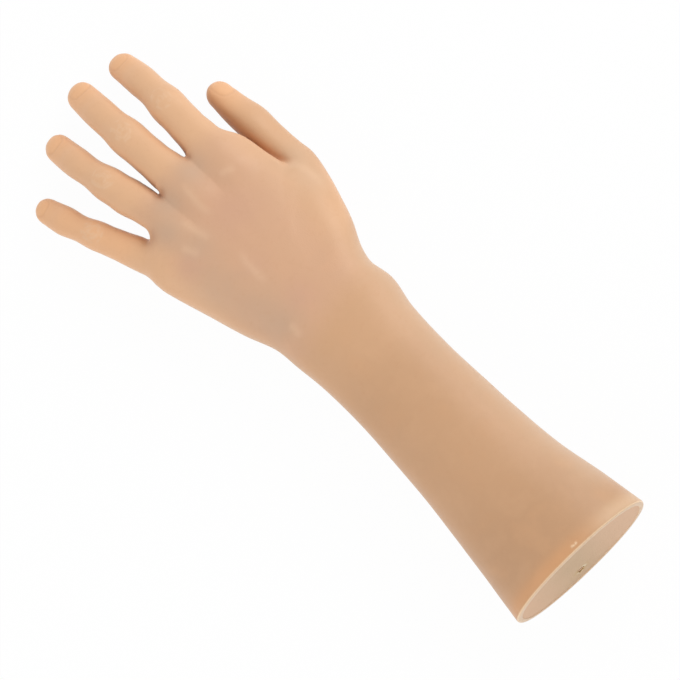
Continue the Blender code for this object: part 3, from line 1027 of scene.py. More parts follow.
    def nail_height(self, spot: SkinSpot) -> Array:
        """Work out the relief of a nail: its plate, the groove round it and the folds beside the groove.

        Args:
            spot: Where the points lie on the nail's digit.

        Returns:
            The heights.
        """
        border = self.nail_border(spot)
        behind = ease(5.0, 1.0, spot.along - spot.digit.nail.centre(spot.digit.length))
        plate = self.plate_height * ease(0.4, -0.8, border)
        groove = -self.groove_depth * bell(border, self.groove_width) * (0.35 + 0.65 * behind)
        folds = self.fold_height * bell(border - self.fold_at, 1.0) * behind
        return (plate + groove + folds) * spot.back

    def back_height(self, points: Array, facing: Array, digits: tuple[DigitForm, ...]) -> Array:
        """Return the relief of the back of the hand.

        Args:
            points: The skin's points.
            facing: How much each point faces out of the back of the hand.
            digits: The digits, whose tendons run there.

        Returns:
            The heights.
        """
        x, y = points[:, 0], points[:, 1]
        height = np.zeros(len(points))
        for digit in digits:
            is_thumb = digit.name == "thumb"
            knuckle = digit.place(self.thumb_knuckle_at if is_thumb else self.knuckle_at)
            place = (knuckle[0], knuckle[1])
            bump = bell(np.hypot(x - place[0], (y - place[1]) * self.knuckle_squash), self.knuckle_radius)
            height += self.knuckle_height * bump * (self.thumb_knuckle_share if is_thumb else 1.0)
            root_x, root_y = self.tendon_root
            middle = ((place[0] + root_x) / 2 * self.tendon_bow, (place[1] + root_y) / 2)
            off, share = line_offset((self.tendon_root, middle, place), x, y)
            fade = ease(0.05, 0.45, share) * (1 - 0.7 * ease(0.8, 1.0, share))
            height += self.tendon_height * bell(off, self.tendon_width) * fade
        return (height + self.streak_height * self.streak(x, y)) * facing

    def streak(self, x: Array, y: Array) -> Array:
        """Work out how much places lie on one of the streaks over the tendons and veins, which are raised a
        little and painted with a highlight.

        Args:
            x: The places' x.
            y: The places' y.

        Returns:
            From 0 to 1.
        """
        found = np.zeros_like(x)
        for line in self.streaks:
            off, share = line_offset(line, x, y)
            streak = bell(off, self.streak_width) * ease(0.0, 0.3, share) * ease(1.0, 0.7, share)
            found = np.maximum(found, streak)
        return found

    def loose_flake(self, points: Array) -> Array:
        """Work out how much points lie on the small flake left on top of the cut rim.

        Args:
            points: The skin's points.

        Returns:
            From 0 to 1.
        """
        x, y, z = points.T
        off, share = line_offset(self.flake, x, y)
        gap = 1 - 0.8 * bell(share - self.flake_break[0], self.flake_break[1])
        return bell(off, self.flake_width) * gap * (z > self.flake_corner[1]) * (y < self.flake_corner[0])

    def palm_height(self, points: Array, facing: Array) -> Array:
        """Return the relief of the palm side.

        Args:
            points: The skin's points.
            facing: How much each point faces out of the palm.

        Returns:
            The heights.
        """
        x, y = points[:, 0], points[:, 1]
        middle = np.hypot((x - self.palm_middle[0]) / self.palm_stretch, y - self.palm_middle[1])
        height = -self.palm_hollow * bell(middle, self.palm_radius)
        for line in self.palm_lines:
            off, share = line_offset(line, x, y)
            depth = self.palm_line_depth * bell(off, self.palm_line_width) * ease(0.0, 0.1, share)
            height -= depth * (1 - ease(0.9, 1.0, share))
        for place in self.wrist_lines:
            off = y - place - self.wrist_line_bow * x**2
            depth = self.wrist_line_depth * bell(off, self.palm_line_width)
            height -= depth * ease(*self.wrist_line_end, np.abs(x))
        return height * facing

    def wrist_bump(self, points: Array) -> Array:
        """Return how much each point lies over the bone at the little finger's side of the wrist."""
        off = np.hypot(points[:, 0] - self.wrist_bone[0], points[:, 1] - self.wrist_bone[1])
        return bell(off, self.wrist_bone_radius)

    def grain(self, points: Array) -> Array:
        """Return the soft unevenness of the whole skin."""
        size = self.grain_size
        return self.grain_height * np.array([noise.noise(Vector(p / size)) for p in points])


@dataclass(frozen=True)
class SkinTints:
    """Where the skin is tinted by hand, and where shade, sheen and highlights are painted into its colour.

    A patch is its x, y, radius and strength. A span is where a tint starts to ease in, and where it is full.
    """

    grey: tuple[Patch, ...] = (
        (-4.6, 301.5, 9.5, 0.8), (-26.6, 297.0, 8.5, 0.9), (-36.0, 286.0, 9.0, 0.85),
        (-31.0, 269.0, 10.0, 0.6), (-38.0, 246.0, 14.0, 0.55), (-27.0, 206.0, 12.0, 0.7),
        (-30.0, 223.0, 14.0, 0.5),
    )
    mauve: tuple[Patch, ...] = (
        (-5.0, 270.0, 17.0, 0.8), (-40.0, 264.0, 8.0, 1.0), (-10.0, 209.0, 9.0, 0.8),
        (-17.0, 240.0, 9.0, 0.5),
    )
    # painted shade at the bottoms of the webs between the fingers
    web_shade_patches: tuple[Patch, ...] = (
        (-25.6, 305.2, 2.6, 0.9), (-45.8, 292.0, 4.0, 0.5), (-0.8, 309.2, 2.2, 0.4),
    )
    # darkens the skin round the ball of the thumb towards the tan colour
    tan_marks: tuple[Patch, ...] = ((40.0, 262.0, 34.0, 0.45),)
    # painted sheen on the thumb's side of the hand, which faces the key lamp
    pale_marks: tuple[Patch, ...] = ((40.0, 271.0, 10.0, 0.8), (41.0, 254.0, 9.0, 0.5))
    tan_steps: tuple[Triple, ...] = ((0.55, 250.0, 190.0), (0.22, 170.0, 135.0), (0.26, 85.0, 15.0))
    tan_thumb: float = 0.42
    tan_thumb_span: Pair = (-36.0, -12.0)
    little_warmth: float = 0.6
    little_span: Pair = (-18.0, -2.0)
    tip_margins: Pair = (6.0, 2.0)
    digit_span: Pair = (-11.0, -1.0)
    nail_edge: Pair = (0.5, -0.5)
    nail_line: float = 0.12
    joint_line: float = 0.6
    joint_line_width: float = 1.1
    inner_shade: float = 0.8
    shade_reach: float = 7.0
    shade_span: Pair = (266.0, 278.0)
    crevice_span: Pair = (268.0, 278.0)
    slit_span: Pair = (2.0, 9.0)
    slit_strength: float = 0.85
    hand_start: Pair = (182.0, 202.0)
    hand_end: Pair = (318.0, 300.0)
    dorsum_middle: float = -10.0
    dorsum_span: Pair = (46.0, 22.0)
    streak_strength: float = 0.7
    side_start: Pair = (8.0, 30.0)
    side_end: Pair = (236.0, 200.0)
    rim_band: Pair = (3.0, 5.5)
    rim_depth: Pair = (2.2, 0.6)
    rim_highlight_depth: Pair = (2.8, 0.8)
    orange_span: Pair = (36.0, -8.0)
    cream_span: Pair = (5.0, 38.0)
    cream_strength: float = 0.35

    def tan_arm(self, y: Array) -> Array:
        """Return how tanned the forearm and wrist are: most at the cut base, least at the hand."""
        return sum(strength * ease(start, end, y) for strength, start, end in self.tan_steps)

    def patches(self, name: str, x: Array, y: Array) -> Array:
        """Return how strong one tint's patches are.

        Args:
            name: The tint.
            x: The places' x.
            y: The places' y.

        Returns:
            The strength, from 0 to 1.
        """
        found = np.zeros_like(x)
        for place_x, place_y, radius, strength in getattr(self, name):
            found = 1 - (1 - found) * (1 - strength * bell(np.hypot(x - place_x, y - place_y), radius))
        return found


@dataclass
class SkinSurface:
    """The skin's finished surface, with what its colours follow."""

    form: SkinForm = field(default_factory=SkinForm)
    relief: SkinRelief = field(default_factory=SkinRelief)
    tints: SkinTints = field(default_factory=SkinTints)
    floor: float = 0.0
    hollow_wall: float = 2.5
    hollow_span: Pair = (5.5, 20.0)
    box_margin: float = 6.0
    hand_span: Pair = (186.0, 205.0)
    relief_span: Pair = (-14.0, -6.0)
    finger_span: Pair = (-9.0, 2.0)
    facing_span: Pair = (0.15, 0.7)
    grain_span: Pair = (2.0, 12.0)
    points: Array = field(init=False)
    quads: Array = field(init=False)
    normals: Array = field(init=False)
    masks: dict[str, Array] = field(init=False)
    spots: dict[str, SkinSpot] = field(init=False)

    def __post_init__(self) -> None:
        """Find the surface, add its relief and work out its masks."""
        places = self.lattice()
        points, quads = surface_net(self.form.sample(places), places)
        points = fit_to_form(points, quads, self.form, 3)
        points, quads = self.open_hollow(points, quads)
        LOG.info("skin surface: %d points, %d quads", len(points), len(quads))
        self.quads = quads
        normals = vertex_normals(points, quads)
        self.spots = self.find_spots(points)
        height = self.heights(points, normals)
        self.masks = self.find_masks(points, normals)
        points = points + normals * height[:, None]
        points[:, 2] = np.maximum(points[:, 2], self.floor)
        self.points = points
        self.normals = vertex_normals(points, quads)

    def lattice(self) -> tuple[Array, Array, Array]:
        """Lay out the lattice that the surface is found on, finest over the hand and at the cut rim.

        Returns:
            Its places along x, y and z.
        """
        coarse = 1.0
        return (
            graded((-90.0, 58.0, 0.6 * coarse)),
            graded((-0.7, 3.0, 0.35), (3.0, 11.0, 1.0), (11.0, 190.0, 3.0), (190.0, 300.0, 0.9 * coarse),
                   (300.0, 394.0, 0.5 * coarse)),
            graded((-3.0, 78.0, 0.8 * coarse)),
        )

    def open_hollow(self, points: Array, quads: Array) -> tuple[Array, Array]:
        """Leave out the deep end of the hollow that the core fills.

        Args:
            points: The surface's points.
            quads: Its quads.

        Returns:
            The points and quads that are left.
        """
        x, y, z = points.T
        inner = self.form.arm.side(x, y, z) < -self.hollow_wall
        deep = inner & (y > self.hollow_span[0]) & (y < self.hollow_span[1])
        used, kept = part_of(quads, ~np.any(deep[quads], axis=1), len(points))
        return points[used], kept

    def find_spots(self, points: Array) -> dict[str, SkinSpot]:
        """Find where the points near each digit lie on it.

        Args:
            points: The skin's points.

        Returns:
            For each digit's name, its spot.
        """
        spots = {}
        for digit in self.form.digits:
            low, high = digit.box(self.box_margin)
            near = np.flatnonzero(np.all((points > low) & (points < high), axis=1))
            along, across, up = digit.coordinates(points[near])
            spots[digit.name] = SkinSpot(digit, near, along, across, up, digit.distance(points[near]))
        return spots

    def heights(self, points: Array, normals: Array) -> Array:
        """Return the relief's height at each point.

        Args:
            points: The skin's points before the relief.
            normals: Their normals.

        Returns:
            The heights.
        """
        finger_share = np.zeros(len(points))
        height = np.zeros(len(points))
        for spot in self.spots.values():
            height[spot.near] += self.relief.digit_height(spot) * ease(*self.relief_span, spot.along)
            finger = spot.belongs * ease(*self.finger_span, spot.along)
            finger_share[spot.near] = np.maximum(finger_share[spot.near], finger)
        hand = ease(*self.hand_span, points[:, 1]) * (1 - finger_share)
        back = ease(*self.facing_span, normals[:, 2])
        height += hand * self.relief.back_height(points, back, self.form.digits)
        height += hand * self.relief.palm_height(points, ease(*self.facing_span, -normals[:, 2]))
        height += self.relief.wrist_bump(points) * ease(0.2, 0.8, normals[:, 2])
        height += self.relief.flake_height * self.relief.loose_flake(points)
        return height + self.relief.grain(points) * ease(*self.grain_span, points[:, 1])

    def digit_tints(self, spot: SkinSpot, sideways: Array) -> dict[str, Array]:
        """Work out the tints and the painted shade that lie on one digit.

        Args:
            spot: Where the points lie on the digit.
            sideways: How much each point faces the thumb's side.

        Returns:
            For each tint's name, how strong it is at each of the spot's points.
        """
        tints, digit = self.tints, spot.digit
        tip_start, tip_end = digit.hinges[-1] - tints.tip_margins[0], digit.length - tints.tip_margins[1]
        tip = ease(tip_start, tip_end, spot.along)
        if digit.name == "little":
            tip = np.maximum(tip, tints.little_warmth * ease(*tints.little_span, spot.along))
        border = self.relief.nail_border(spot)
        # painted shade in the groove round the nail and in the joint creases on the palm side
        lines = tints.nail_line * bell(border, 0.6) * spot.back
        for hinge in digit.hinges:
            joint = tints.joint_line * bell(spot.along - hinge, tints.joint_line_width) * spot.front
            lines = np.maximum(lines, joint)
        found = {
            "warm": tip, "on_digit": ease(*tints.digit_span, spot.along),
            "nail": ease(*tints.nail_edge, border) * spot.back, "crease": lines,
        }
        if digit.name == "thumb":
            # painted shade on the thumb's inner side, which faces the palm and away from the key lamp
            inner = tints.inner_shade * ease(0.05, -0.9, sideways) * ease(-14.0, 0.0, spot.along)
            found["tan"] = tints.tan_thumb * ease(*tints.tan_thumb_span, spot.along)
            found["shade"] = inner * ease(tip_end, 30.0, spot.along)
        else:
            found["pale"] = self.relief.knuckle_ring(spot, digit.hinges[1])
        return {name: values * spot.belongs for name, values in found.items()}

    def crevice_shade(self, points: Array, normals: Array) -> dict[str, Array]:
        """Work out the painted shade in the crevice where the thumb dips under the palm's edge.

        Args:
            points: The skin's points before the relief.
            normals: Their normals.

        Returns:
            The painted shade under the palm's edge and the painted dark line along the crevice, at each of
            the points near the thumb.
        """
        spot, tints = self.spots["thumb"], self.tints
        y, up = points[spot.near, 1], normals[spot.near, 2]
        palm = self.form.arm.distance(*points[spot.near].T)
        under = ease(tints.shade_reach, 0.5, palm) * ease(*tints.shade_span, y) * spot.belongs
        line = bell(palm + spot.gap, 1.1) * ease(*tints.crevice_span, y) * ease(0.0, 0.2, up)
        return {"shade": under * ease(-0.1, 0.2, up), "crease": line}

    def slit_shade(self, points: Array, normals: Array) -> Array:
        """Work out the painted shade in the slits between neighbouring fingers, deepest on the sides facing
        away from the thumb.

        Args:
            points: The skin's points before the relief.
            normals: Their normals.

        Returns:
            How dark each point is.
        """
        gaps = np.full((len(self.spots), len(points)), FAR)
        for row, spot in enumerate(self.spots.values()):
            gaps[row, spot.near] = np.where(spot.along > -12.0, spot.gap, FAR)
        second = np.sort(gaps, axis=0)[1]
        facing = ease(0.95, 0.3, normals[:, 2])
        slit = (1 - ease(*self.tints.slit_span, second)) * facing
        # painted shade, deeper on the sides that face away from the key lamp
        return self.tints.slit_strength * (slit * (0.45 + 0.55 * ease(0.4, -0.6, normals[:, 0])))

    def rim_tints(self, points: Array, normals: Array) -> dict[str, Array]:
        """Work out the tints of the cut rim and the band beside it, with the painted highlight along the
        rim's rounded upper edge.

        Args:
            points: The skin's points before the relief.
            normals: Their normals.

        Returns:
            For each tint's name, how strong it is at each point.
        """
        tints, x, y = self.tints, points[:, 0], points[:, 1]
        up, out = normals[:, 2], -normals[:, 1]
        rim = bell(y - tints.rim_band[0], tints.rim_band[1])
        under = 0.4 * ease(0.1, -0.4, up)
        # painted highlight along the rounded upper edge of the cut rim
        edge = ease(*tints.rim_highlight_depth, y) * ease(0.12, 0.4, out) * ease(0.995, 0.88, out)
        edge *= ease(-0.4, 0.1, up)
        pale = np.maximum(edge, self.relief.loose_flake(points))
        return {
            "rim_orange": rim * ease(*tints.orange_span, x),
            "rim_cream": np.maximum(tints.cream_strength * rim * ease(*tints.cream_span, x), pale),
            "rim_face": ease(*tints.rim_depth, y) * ease(0.5 - under, 0.9 - under, out),
        }

    def find_masks(self, points: Array, normals: Array) -> dict[str, Array]:
        """Work out where each of the skin's tints lies, and where its painted shade, sheen and highlights
        lie.

        Args:
            points: The skin's points before the relief.
            normals: Their normals.

        Returns:
            For each tint's name, how strong it is at each point.
        """
        x, y = points[:, 0], points[:, 1]
        up, tints = normals[:, 2], self.tints
        names = ("warm", "crease", "nail", "pale", "shade", "tan", "on_digit")
        masks = {name: np.zeros(len(points)) for name in names}
        for spot in self.spots.values():
            found = [self.digit_tints(spot, normals[spot.near, 0])]
            if spot.digit.name == "thumb":
                found.append(self.crevice_shade(points, normals))
            for name, values in (pair for tinted in found for pair in tinted.items()):
                masks[name][spot.near] = np.maximum(masks[name][spot.near], values)
        facing = ease(0.2, 0.7, up)
        back = facing * (1 - masks.pop("on_digit"))
        hand = back * ease(*tints.hand_start, y - 0.25 * x) * ease(*tints.hand_end, y)
        # the forearm's tan, strongest at the cut base, with painted shade that makes its upward-facing skin
        # darker than its sides
        arm_tan_and_shade = tints.tan_arm(y) * (0.4 + 0.6 * ease(-0.3, 0.4, up))
        for name, values in (
            # painted shade in the slits between the fingers and at their webs
            ("crease", self.slit_shade(points, normals)),
            ("crease", tints.patches("web_shade_patches", x, y) * facing),
            ("tan", tints.patches("tan_marks", x, y) * facing),
            ("tan", arm_tan_and_shade),
            # painted highlight along the streaks over the tendons and veins
            ("pale", tints.streak_strength * self.relief.streak(x, y) * back),
        ):
            masks[name] = np.maximum(masks[name], values)
        # painted sheen: skin facing the key lamp, on the thumb's side, is made paler and cooler
        side = ease(0.4, 0.95, normals[:, 0]) * ease(*tints.side_end, y) * ease(*tints.side_start, y)
        return {
            **masks, **self.rim_tints(points, normals),
            "dorsum": hand * ease(*tints.dorsum_span, np.abs(x - tints.dorsum_middle)),
            "grey": tints.patches("grey", x, y) * back, "mauve": tints.patches("mauve", x, y) * back,
            "side": np.maximum(side, tints.patches("pale_marks", x, y) * facing),
        }


def mesh_object(name: str, points: Array, faces: Array | list[list[int]], material: bpy.types.Material) -> bpy.types.Object:
    """Make a piece from points in the row frame.

    Args:
        name: The piece's name.
        points: The points.
        faces: The faces, as indices of the points.
        material: Its finish.

    Returns:
        The piece, shaded smooth.
    """
    mesh = bpy.data.meshes.new(name)
    mesh.from_pydata(points.tolist(), [], faces.tolist() if isinstance(faces, np.ndarray) else faces)
    mesh.shade_smooth()
    mesh.materials.append(material)
    piece = bpy.data.objects.new(name, mesh)
    bpy.context.scene.collection.objects.link(piece)
    return piece


def add_values(piece: bpy.types.Object, name: str, values: Array) -> None:
    """Keep a number or a vector for each of a piece's points, for its finish to read.

    Args:
        piece: The piece.
        name: The name that the finish reads.
        values: The numbers or vectors.
    """
    kind = "FLOAT" if values.ndim == 1 else "FLOAT_VECTOR"
    layer = piece.data.attributes.new(name, kind, "POINT")
    layer.data.foreach_set("value" if values.ndim == 1 else "vector", values.astype(np.float32).ravel())


@dataclass
class SkinSheath:
    """The silicone skin: one piece for the palm and forearm, and one for each bend of each digit."""

    hand: HandFrame
    material: bpy.types.Material
    surface: SkinSurface
    seam_margin: float = 1.0
    reach: float = 2.5
    crevice_reach: float = 0.6
    palm_depth: float = 1.3
    thumb_depth: float = 0.35
    lining_step: float = 0.9
    lining_shade: float = 0.5
    lining_box: tuple[Pair, ...] = ((6.0, 50.0), (260.0, 314.0), (2.0, 46.0))

    def sort_faces(self) -> dict[str, Array]:
        """Give each quad to the piece that it belongs to.

        Returns:
            For each piece's name, True for each quad that it has.
        """
        quads, points = self.surface.quads, self.surface.points
        owner = np.full(len(quads), -1)
        nearest = np.full(len(points), self.reach)
        along = np.full((len(DIGITS), len(points)), -FAR)
        digit_of = np.full(len(points), -1)
        for row, digit in enumerate(DIGITS):
            spot = self.surface.spots[digit.name]
            closer = spot.gap < nearest[spot.near]
            if digit is THUMB:
                closer &= (spot.gap < self.crevice_reach) | (spot.along < digit.zones[0])
            chosen = spot.near[closer]
            nearest[chosen] = spot.gap[closer]
            digit_of[chosen] = row
            along[row, spot.near] = spot.along
        pieces = {}
        for row, digit in enumerate(DIGITS):
            mine = np.all(digit_of[quads] == row, axis=1)
            middle = along[row][quads].mean(axis=1)
            seams = [-digit.zones[0], *digit.seams, 2 * digit.length]
            for i, word in enumerate(SEGMENT_NAMES[len(digit.lengths)]):
                found = mine & (middle >= seams[i]) & (middle < seams[i + 1])
                owner[found] = row
                pieces[f"{digit.name}_{word}"] = found
        pieces["palm"] = owner < 0
        return pieces

    def build(self) -> list[bpy.types.Object]:
        """Make the fifteen pieces, and the linings of the thumb's crevice.

        Returns:
            The pieces.
        """
        chosen = self.sort_faces()
        made = [self.piece("silicone_palm_and_forearm", chosen["palm"])]
        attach(made[0], "palm")
        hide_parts("skin_palm_forearm")
        for digit in DIGITS:
            for i, word in enumerate(SEGMENT_NAMES[len(digit.lengths)]):
                body = f"{digit.name}_{word}"
                piece = self.piece(f"silicone_{body}", chosen[body])
                hinge, zone = digit.hinges[i], digit.zones[i]
                start = hinge - zone + (self.seam_margin if i == 0 else 0.0)
                self.hand.row(digit.place(start))
                self.hand.row(digit.place(hinge + zone))
                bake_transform(piece)
                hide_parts(f"{body}_skin")
                made.append(piece)
        return made + self.linings()

    def linings(self) -> list[bpy.types.Object]:
        """Make the skin inside the crevice, which shows where the thumb bends away from the palm's edge.

        Returns:
            The palm's side of the crevice, and the thumb's.
        """
        arm, hinge, zone = self.surface.form.arm, THUMB.hinges[0], THUMB.zones[0]
        places = tuple(np.arange(low, high, self.lining_step) for low, high in self.lining_box)
        lattice = np.stack(np.meshgrid(*places, indexing="ij"), axis=-1)
        flat = lattice.reshape(-1, 3)
        made = []
        for name, own, depth in (("palm", arm.distance(*flat.T), self.palm_depth),
                                 ("thumb", THUMB.distance(flat), self.thumb_depth)):
            points, quads = surface_net(own.reshape(lattice.shape[:3]) + depth, places)
            along = THUMB.coordinates(points)[0]
            if name == "palm":
                hidden = (THUMB.distance(points) < self.reach) & (along > hinge - 2 * zone)
            else:
                hidden = (arm.distance(*points.T) < 2 * self.crevice_reach) & (along > hinge - zone)
            used, kept = part_of(quads, np.all(hidden[quads], axis=1), len(points))
            lining = mesh_object(f"silicone_{name}_lining", self.hand.row(points[used]), kept, self.material)
            add_values(lining, "rest_place", points[used])
            add_values(lining, "shade", np.full(len(used), self.lining_shade))
            made.append(lining)
        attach(made[0], "palm")
        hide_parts("skin_palm_forearm")
        start, end = THUMB.place(hinge - zone + self.seam_margin), THUMB.place(hinge + zone)
        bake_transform(made[1], "palm", "thumb_proximal", start=self.hand.row(start), end=self.hand.row(end))
        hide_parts("thumb_proximal_skin")
        return made

    def piece(self, name: str, chosen: Array) -> bpy.types.Object:
        """Make one piece from some of the skin's quads.

        Args:
            name: The piece's name.
            chosen: True for each quad that it has.

        Returns:
            The piece, with the whole skin's normals and tints.
        """
        surface = self.surface
        used, kept = part_of(surface.quads, chosen, len(surface.points))
        made = mesh_object(name, self.hand.row(surface.points[used]), kept, self.material)
        made.data.normals_split_custom_set_from_vertices(surface.normals[used].tolist())
        add_values(made, "rest_place", surface.points[used])
        for mask, values in surface.masks.items():
            add_values(made, mask, values[used])
        return made


def ring_quads(count: int, sides: int, closed: bool = False) -> list[list[int]]:
    """Join rings of points with quads.

    Args:
        count: How many rings there are.
        sides: How many points each ring has.
        closed: Whether the last ring is joined to the first too.

    Returns:
        The quads, as indices of the points, ring after ring.
    """
    quads = []
    for i in range(count if closed else count - 1):
        low, high = i * sides, (i + 1) % count * sides
        for j in range(sides):
            ahead = (j + 1) % sides
            quads.append([low + j, low + ahead, high + ahead, high + j])
    return quads


def tube(path: Array, radius: float, sides: int) -> tuple[Array, list[list[int]]]:
    """Make a round tube along a path, with closed ends.

    Args:
        path: The path's points.
        radius: The tube's radius.
        sides: How many sides it has.

    Returns:
        Its points, and its faces.
    """
    turns = np.linspace(0.0, 2 * math.pi, sides, endpoint=False)
    ahead = np.gradient(path, axis=0)
    ahead /= np.linalg.norm(ahead, axis=1, keepdims=True)
    side = np.cross(ahead, (0.0, 0.0, 1.0))
    side /= np.linalg.norm(side, axis=1, keepdims=True)
    up = np.cross(ahead, side)
    rings = path[:, None] + radius * (side[:, None] * np.cos(turns)[None, :, None]
                                      + up[:, None] * np.sin(turns)[None, :, None])
    faces = ring_quads(len(path), sides)
    faces.append(list(range(sides))[::-1])
    faces.append([(len(path) - 1) * sides + j for j in range(sides)])
    return rings.reshape(-1, 3), faces


Colour = Triple


class Graph:
    """The nodes of one material or world."""

    def __init__(self, owner: bpy.types.Material | bpy.types.World) -> None:
        """Empty the owner's node tree and keep it.

        Args:
            owner: The material or world.
        """
        owner.use_nodes = True
        self.tree = owner.node_tree
        self.tree.nodes.clear()

    def node(self, kind: str, settings: dict[str, object] | None = None,
             sockets: dict[str | int, object] | None = None, output: str | int = 0) -> "Signal":
        """Add a node.

        Args:
            kind: The node's type.
            settings: Its settings, and the stops of a ramp.
            sockets: The value or the signal of each of its sockets.
            output: Which of its outputs is returned.

        Returns:
            The output.
        """
        made = self.tree.nodes.new(kind)
        for name, value in (settings or {}).items():
            if name == "stops":
                for i, (place, colour) in enumerate(value):
                    stop = made.color_ramp.elements[i] if i < 2 else made.color_ramp.elements.new(place)
                    stop.position, stop.color = place, (*colour, 1.0)
            else:
                setattr(made, name, value)
        for name, value in (sockets or {}).items():
            if isinstance(value, Signal):
                self.tree.links.new(value.socket, made.inputs[name])
            else:
                made.inputs[name].default_value = value
        return Signal(self, made.outputs[output])

    def math(self, operation: str, a: object, b: object = 0.0) -> "Signal":
        """Return a Math node's result."""
        return self.node("ShaderNodeMath", {"operation": operation}, {0: a, 1: b})

    def mix(self, share: object, a: object, b: object) -> "Signal":
        """Return the colour a mixed towards b by a share."""
        a, b = (part if isinstance(part, Signal) else (*part, 1.0) for part in (a, b))
        return self.node("ShaderNodeMix", {"data_type": "RGBA"}, {0: share, 6: a, 7: b}, 2)

    def value(self, name: str) -> "Signal":
        """Return a number kept on the piece's points."""
        return self.node("ShaderNodeAttribute", {"attribute_name": name}, output="Fac")

    def place(self, name: str) -> "Signal":
        """Return a vector kept on the piece's points."""
        return self.node("ShaderNodeAttribute", {"attribute_name": name}, output="Vector")

    def own_place(self) -> "Signal":
        """Return the place in the piece's own frame."""
        return self.node("ShaderNodeTexCoord", output="Object")

    def noise(self, place: "Signal", scale: float, detail: float = 2.0) -> "Signal":
        """Return smooth noise from 0 to 1."""
        sockets = {"Vector": place, "Scale": scale, "Detail": detail}
        return self.node("ShaderNodeTexNoise", {"normalize": True}, sockets)

    def ramp(self, value: "Signal", low: float, high: float) -> "Signal":
        """Return a smooth rise from 0 to 1 while a value goes from low to high."""
        return self.node("ShaderNodeMapRange", {"interpolation_type": "SMOOTHSTEP"},
                         {"Value": value, "From Min": low, "From Max": high})

    def bump(self, height: "Signal", distance: float, strength: float = 1.0) -> "Signal":
        """Return a normal that follows a height."""
        sockets = {"Height": height, "Distance": distance, "Strength": strength}
        return self.node("ShaderNodeBump", None, sockets)

    def principled(self, sockets: dict[str | int, object]) -> None:
        """Lead a Principled node with these sockets to the output."""
        self.finish(self.node("ShaderNodeBsdfPrincipled", None, sockets))

    def finish(self, shader: "Signal", kind: str = "ShaderNodeOutputMaterial") -> None:
        """Lead a shader to the output."""
        made = self.tree.nodes.new(kind)
        self.tree.links.new(shader.socket, made.inputs["Surface"])


class Signal:
    """A shader socket, whose arithmetic adds Math nodes."""

    def __init__(self, graph: Graph, socket: bpy.types.NodeSocket) -> None:
        """Keep the socket and its graph."""
        self.graph, self.socket = graph, socket

    def __add__(self, other: object) -> "Signal":
        """Add."""
        return self.graph.math("ADD", self, other)

    def __radd__(self, other: object) -> "Signal":
        """Add to a number."""
        return self.graph.math("ADD", other, self)

    def __sub__(self, other: object) -> "Signal":
        """Subtract."""
        return self.graph.math("SUBTRACT", self, other)

    def __rsub__(self, other: object) -> "Signal":
        """Subtract from a number."""
        return self.graph.math("SUBTRACT", other, self)

    def __mul__(self, other: object) -> "Signal":
        """Multiply."""
        return self.graph.math("MULTIPLY", self, other)

    def __rmul__(self, other: object) -> "Signal":
        """Multiply a number."""
        return self.graph.math("MULTIPLY", other, self)

    def __pow__(self, other: object) -> "Signal":
        """Raise to a power."""
        return self.graph.math("POWER", self, other)

    def held(self) -> "Signal":
        """Return the value held between 0 and 1."""
        return self.graph.node("ShaderNodeClamp", None, {"Value": self})


def new_material(name: str) -> tuple[bpy.types.Material, Graph]:
    """Return an empty material and its graph."""
    material = bpy.data.materials.new(name)
    return material, Graph(material)


